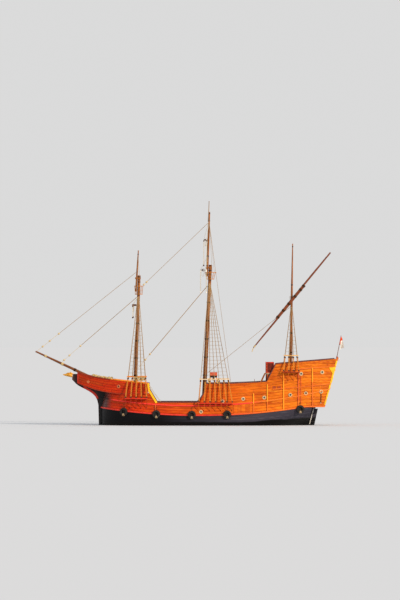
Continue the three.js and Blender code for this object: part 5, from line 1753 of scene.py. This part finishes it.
def makeDoorIrons():
    for body, (x, floor, y, height, way) in doors.items():
        irons = newShape()
        face, back = x + way * 0.045, x + way * 0.053
        for share in (0.2, 0.8):
            z = floor + height * share
            low = (min(face, back), y - 0.26, z - 0.028)
            addBlock(irons, low, (max(face, back), y + 0.37, z + 0.028), 0.003)
            for k in range(5):
                nail = [(0.013, 0), (0.011, 0.005), (0.004, 0.008)]
                addLathe(irons, nail, (back, y + 0.33 - 0.13 * k, z), (way, 0, 0), 10)
        z = floor + height * 0.52
        boss = [(0.035, -0.008), (0.035, 0.0), (0.016, 0.01), (0.006, 0.018)]
        addLathe(irons, boss, (back, y - 0.31, z), (way, 0, 0), 16)
        ring = (back + way * 0.012, y - 0.31, z - 0.045)
        addHoop(irons, roundProfile(0.045, 0.007, 8), ring, (1, 0, 0), 20)
        name = "".join(part.capitalize() for part in body.split("_"))
        putPiece(name + "Irons", irons, iron, body)


makeDoorIrons()

hatch = {"fromX": 1.5, "toX": 3.9, "half": 0.9, "topZ": 1.404 + 0.318, "battens": 13}


def makeGrating():
    battens, lifting = newShape(), newShape()
    edge, top, half = 0.115, hatch["topZ"], hatch["half"]
    for y in spread(-half + edge + 0.05, half - edge - 0.05, hatch["battens"]):
        low = (hatch["fromX"] + edge, y - 0.025, top - 0.035)
        addBlock(battens, low, (hatch["toX"] - edge, y + 0.025, top), 0.004)
    putPiece("HatchBattens", battens, larchLevel)
    for x in (2.1, 3.3):
        for y in (-0.45, 0.45):
            addHoop(lifting, roundProfile(0.05, 0.008, 8), (x, y, top + 0.012), (0, 0, 1), 20)
    putPiece("HatchRings", lifting, iron)


makeGrating()


def makeRudderIrons():
    straps, strip = newShape(), newShape()
    bolt = [(0.018, 0), (0.015, 0.007), (0.006, 0.011)]
    for z in (1.25, 0.35, -0.6, -1.6):
        x = sternpostX(z) - 0.075
        for side in (-1, 1):
            near, far = sorted((side * 0.052, side * 0.07))
            addBlock(straps, (x - 0.34, near, z - 0.045), (x - 0.03, far, z + 0.045), 0.004)
            for k in range(3):
                addLathe(straps, bolt, (x - 0.3 + 0.1 * k, side * 0.07, z), (0, side, 0), 10)
    putPiece("RudderStraps", straps, iron, "rudder")
    for near, far in ((-0.16, -0.168), (0.16, 0.168)):
        rings = []
        for z in spread(1.62, 0.12, 8):
            x = sternpostX(z) + 0.05
            rings.append([(x - 0.03, near, z), (x + 0.03, near, z), (x + 0.03, far, z), (x - 0.03, far, z)])
        addRings(strip, rings)
    putPiece("SternPostStrip", strip, whitePaint)


makeRudderIrons()


def makeBell():
    axis = Vector((belfry["x"], belfry["y"], belfry["roofZ"] - 0.1))
    inside = [(0.01, -0.1), (0.09, -0.15), (0.12, -0.34), (0.15, -0.398), (0.17, -0.4), (0.168, -0.395)]
    outside = [(0.13, -0.33), (0.108, -0.25), (0.1, -0.16), (0.085, -0.1), (0.045, -0.05), (0.03, 0.0)]
    shape, clapper = newShape(), newShape()
    addLathe(shape, inside + outside, axis, (0, 0, 1), 28)
    putPiece("Bell", shape, bronze, "bell", "bell")
    addTube(clapper, [axis - upright * 0.12, axis - upright * 0.37], 0.012, 8)
    addLathe(clapper, [(0.01, -0.03), (0.03, 0), (0.01, 0.03)], axis - upright * 0.385, (0, 0, 1), 12)
    putPiece("BellClapper", clapper, iron, "bell")


makeBell()


figurehead = [  # along the neck and head: x, z, half width, half height
    (13.812, 5.12, 0.15, 0.16),
    (13.95, 5.16, 0.17, 0.18),
    (14.12, 5.24, 0.2, 0.215),
    (14.27, 5.27, 0.19, 0.215),
    (14.4, 5.25, 0.14, 0.165),
    (14.52, 5.235, 0.095, 0.11),
    (14.66, 5.24, 0.06, 0.075),
    (14.8, 5.26, 0.02, 0.03),
]


def makeFigurehead():
    shape = newShape()
    around = circle(1, 20)
    addRings(shape, [[(x, wide * c, z + tall * s) for c, s in around] for x, z, wide, tall in figurehead])
    for side in sides.values():
        ear = [(14.12, side * 0.12, 5.4), (14.02, side * 0.15, 5.48), (13.88, side * 0.14, 5.46)]
        addTube(shape, ear, [0.055, 0.045, 0.008], 8)
        eye = [(0.01, -0.03), (0.032, 0), (0.01, 0.03)]
        addLathe(shape, eye, (14.36, side * 0.135, 5.32), (0, 1, 0), 12)
    for k in range(5):
        x, z = 13.84 + 0.07 * k, 5.27 + 0.03 * k
        tuft = [(x, 0, z), (x - 0.09, 0, z + 0.09), (x - 0.17, 0, z + 0.06)]
        addTube(shape, tuft, [0.06, 0.05, 0.012], 8)
    putPiece("Figurehead", shape, gilding, stands="figurehead", crease=60)


makeFigurehead()

portholes = [  # station, height, radius of the glass, how far the frame stands out
    (-3.96, 2.78, 0.1, 0.03),
    (-6.15, 2.91, 0.1, 0.03),
    (-8.85, 3.19, 0.1, 0.1),
    (-10.47, 3.34, 0.1, 0.1),
    (-9.98, 5.37, 0.1, 0.03),
    (-12.18, 5.53, 0.1, 0.03),
    (-12.06, 3.51, 0.1, 0.1),
    (-1.82, 2.53, 0.09, 0.03),
    (0.42, 1.44, 0.09, 0.03),
]
castlePort = {"x": 8.98, "z": 4.06, "radius": 0.095, "ring": 0.085}
patch = {"x": 12.15, "z": 4.52, "half": 0.09, "border": 0.035}  # square on the beak
portholeRing = 0.1
sideWindows = {"stations": (-7.19, -7.71), "z": 3.92, "half": 0.115, "border": 0.045}
quarter = {
    "rod": (-12.06, 3.3, 2.4),  # station, upper and lower end
    "badge": [(-12.88, 6.02), (-13.5, 6.08), (-13.42, 5.76), (-13.3, 5.3)],
}


def sideWindow(x, side, u, v, out):
    return sidePoint(x + u, sideWindows["z"] + v, out, side)


def makePortholes(word, side):
    frames, panes = newShape(), newShape()
    for x, z, radius, proud in portholes:
        centre, out, edge = sidePoint(x, z, 0.004, side), outward(x, z, side), radius + portholeRing
        section = [(radius, -0.02), (edge, -0.02), (edge, proud * 0.6), (edge - 0.02, proud)]
        section += [(radius + portholeRing * 0.25, proud), (radius, proud * 0.5)]
        addHoop(frames, section, centre, out, 28)
        addLathe(panes, [(radius + 0.01, 0.0), (radius + 0.01, proud * 0.4)], centre, out, 28)
    putPiece("PortholeFrames" + word, frames, greyBronze, crease=30)
    putPiece("PortholeGlass" + word, panes, portGlass)

    frames, panes = newShape(), newShape()
    x, z, radius, ring = castlePort["x"], castlePort["z"], castlePort["radius"], castlePort["ring"]
    centre = castlePoint(x, z, 0.003, side)
    out = castlePoint(x, z, 1, side) - centre
    section = [(radius, -0.02), (radius + ring, -0.02), (radius + ring, 0.02)]
    addHoop(frames, section + [(radius + 0.02, 0.034), (radius, 0.02)], centre, out, 28)
    addLathe(panes, [(radius + 0.01, 0.0), (radius + 0.01, 0.01)], centre, out, 28)

    def onPoint(u, v, out):  # a square stood on its corner
        run, rise = (u - v) * sqrt(0.5), (u + v) * sqrt(0.5)
        return castlePoint(patch["x"] + run, patch["z"] + rise, out, side)

    half = patch["half"]
    addFrame(frames, onPoint, half, half, patch["border"], 0.02)
    addPanel(frames, onPoint, half + 0.01, half + 0.01, 0.0, 0.01)
    putPiece("CastlePort" + word, frames, peachOil, crease=30)
    putPiece("CastlePortGlass" + word, panes, darkRed)

    frames, shutters, half = newShape(), newShape(), sideWindows["half"]
    for x in sideWindows["stations"]:
        at = partial(sideWindow, x, side)
        addFrame(frames, at, half, half, sideWindows["border"], 0.045)
        addPanel(shutters, at, half + 0.01, half + 0.01, 0.0, 0.02)
        addPanel(frames, at, 0.014, half, 0.02, 0.035)
    putPiece("SideWindowFrames" + word, frames, brownOil, crease=30)
    putPiece("SideWindowShutters" + word, shutters, brownOil)

    x, high, low = quarter["rod"]
    rod, knob = newShape(), newShape()
    points = [sidePoint(x, high, 0.03, side), sidePoint(x, high - 0.1, 0.07, side)]
    points += [sidePoint(x + 0.02, low + 0.12, 0.07, side), sidePoint(x + 0.04, low, 0.06, side)]
    addTube(rod, points, [0.035, 0.03, 0.034, 0.055], 12)
    foot = sidePoint(x + 0.05, low - 0.06, 0.05, side)
    addLathe(knob, [(0.02, -0.05), (0.05, -0.03), (0.05, 0.03), (0.02, 0.05)], foot, (0, 0, 1), 16)
    putPiece("QuarterRod" + word, rod, iron)
    putPiece("QuarterRodEnd" + word, knob, creamPaint)


def makeQuarter(word, side):
    path = [(transomX(z) + 0.085, z) for z in spread(6.72, 2.15, 12)]
    edge = sideStrip(path, boardSection(0.15, 0.05), sideHalf, side)
    putPiece("TransomMoulding" + word, edge, yellowPaint, crease=28)
    badge, rings, corners = newShape(), [], quarter["badge"]
    cx, cz = [sum(values) / len(corners) for values in zip(*corners)]
    for out, shrink in ((0.0, 1.0), (0.045, 1.0), (0.06, 0.82)):
        places = [(cx + (x - cx) * shrink, cz + (z - cz) * shrink) for x, z in corners]
        rings.append([sidePoint(x, z, out, side) for x, z in places])
    addRings(badge, rings)
    putPiece("QuarterBadge" + word, badge, yellowPaint, crease=28)


def onTransom(y, z, u, v, out):
    slope = Vector((-0.2785, 0, 1)).normalized()
    return Vector((transomX(z) - slope.z * out, y + u, z + slope.x * out)) + slope * v


def makeSternTrim():
    frames, panes, bands = newShape(), newShape(), newShape()
    for y in (-1.35, -0.45, 0.45, 1.35):
        at = partial(onTransom, y, 4.75)
        addFrame(frames, at, 0.2, 0.26, 0.06, 0.035)
        addPanel(panes, at, 0.21, 0.27, -0.005, 0.006)
        addPanel(frames, at, 0.012, 0.26, 0.0, 0.02)
        addPanel(frames, at, 0.2, 0.012, 0.0, 0.02)
    putPiece("SternWindowFrames", frames, yellowPaint, crease=30)
    putPiece("SternWindowPanes", panes, darkRed)
    for z in (3.9, 5.75):
        wide = sideHalf(transomX(z), z) - 0.03
        addPanel(bands, partial(onTransom, 0, z), wide, 0.05, 0.0, 0.04)
    putPiece("TransomMouldings", bands, goldOil, crease=30)
    lamp, step = newShape(), newShape()
    profile = [(0.02, -0.16), (0.055, -0.15), (0.055, -0.12), (0.045, -0.11), (0.05, 0.06), (0.06, 0.07)]
    profile += [(0.06, 0.09), (0.03, 0.13), (0.012, 0.14), (0.012, 0.17)]
    addLathe(lamp, profile, (-13.985, 0, 6.85), (0, 0, 1), 20)
    addTube(lamp, [(-13.985, 0, 6.71), (-13.9, 0, 6.66), (-13.82, 0, 6.68)], 0.014, 8)
    putPiece("SternLamp", lamp, whitePaint, crease=30)
    addBlock(step, (-13.84, -0.09, 7.02), (-13.66, 0.09, 7.14), 0.02)
    putPiece("StaffStep", step, redOil)


for make in (makePortholes, makeQuarter):
    for word, side in sides.items():
        make(word, side)
makeSternTrim()

staff = {"foot": (-13.74, 0, 7.08), "head": (-14.17, 0, 9.3), "radii": [0.036, 0.022]}


def makeStaff():
    pole = newShape()
    addSpar(pole, staff["foot"], staff["head"], staff["radii"], 16, 3)
    addLathe(pole, [(0.01, -0.04), (0.045, 0), (0.01, 0.04)], staff["head"], (0, 0, 1), 16)
    putPiece("EnsignStaff", pole, sparPine, stands="ensign_staff")


flag = {"hoist": 0.85, "fly": 1.3, "rows": 18, "columns": 28, "frames": 105, "below": 0.08}


# The ensign hangs limp: its cloth starts straight, is held at the hoist and falls for four seconds or so.
def makeFlag():
    head, foot = Vector(staff["head"]), Vector(staff["foot"])
    down = (foot - head).normalized()
    across, rows = flag["columns"], flag["rows"] + 1
    shape = newShape()
    for i in range(across + 1):
        u = i / across
        for j in range(rows):
            v = j / (rows - 1)
            sway = 0.05 * sin(u * 19 + v * 1.5) * min(1, u * 4)
            point = head + down * (flag["below"] + flag["hoist"] * v)
            shape["verts"].append(tuple(point + Vector((-flag["fly"] * u * 0.85, sway, 0))))
    for i in range(across):
        for j in range(rows - 1):
            corners = [(i, j), (i, j + 1), (i + 1, j + 1), (i + 1, j)]
            uvs = [(a / across, b / (rows - 1)) for a, b in corners]
            addFace(shape, [a * rows + b for a, b in corners], uvs)
    cloth = newObject("cloth", toMesh("cloth", shape))
    cloth.vertex_groups.new(name="hoist").add(list(range(rows)), 1, "REPLACE")
    hang = cloth.modifiers.new("Cloth", "CLOTH")
    settings, collisions = hang.settings, hang.collision_settings
    settings.quality = 7
    settings.mass = 0.1
    settings.tension_stiffness = settings.compression_stiffness = 20
    settings.shear_stiffness = 8
    settings.bending_stiffness = 0.15
    settings.tension_damping = settings.compression_damping = settings.shear_damping = 4
    settings.air_damping = 0.9
    settings.vertex_group_mass = "hoist"
    collisions.use_collision = False
    collisions.use_self_collision = True
    collisions.self_distance_min = 0.008
    for number in range(1, flag["frames"] + 1):
        bpy.context.scene.frame_set(number)
    hung = finalMesh(cloth)
    bpy.data.objects.remove(cloth)
    bpy.context.scene.frame_set(1)
    piece = putPiece("Ensign", hung, flagCloth, crease=180)
    smooth = piece.modifiers.new("Smooth", "SUBSURF")
    smooth.levels = smooth.render_levels = 1
    thick = piece.modifiers.new("Thick", "SOLIDIFY")
    thick.thickness = 0.002


makeFlag()
makeStaff()
print("deck gear ready")
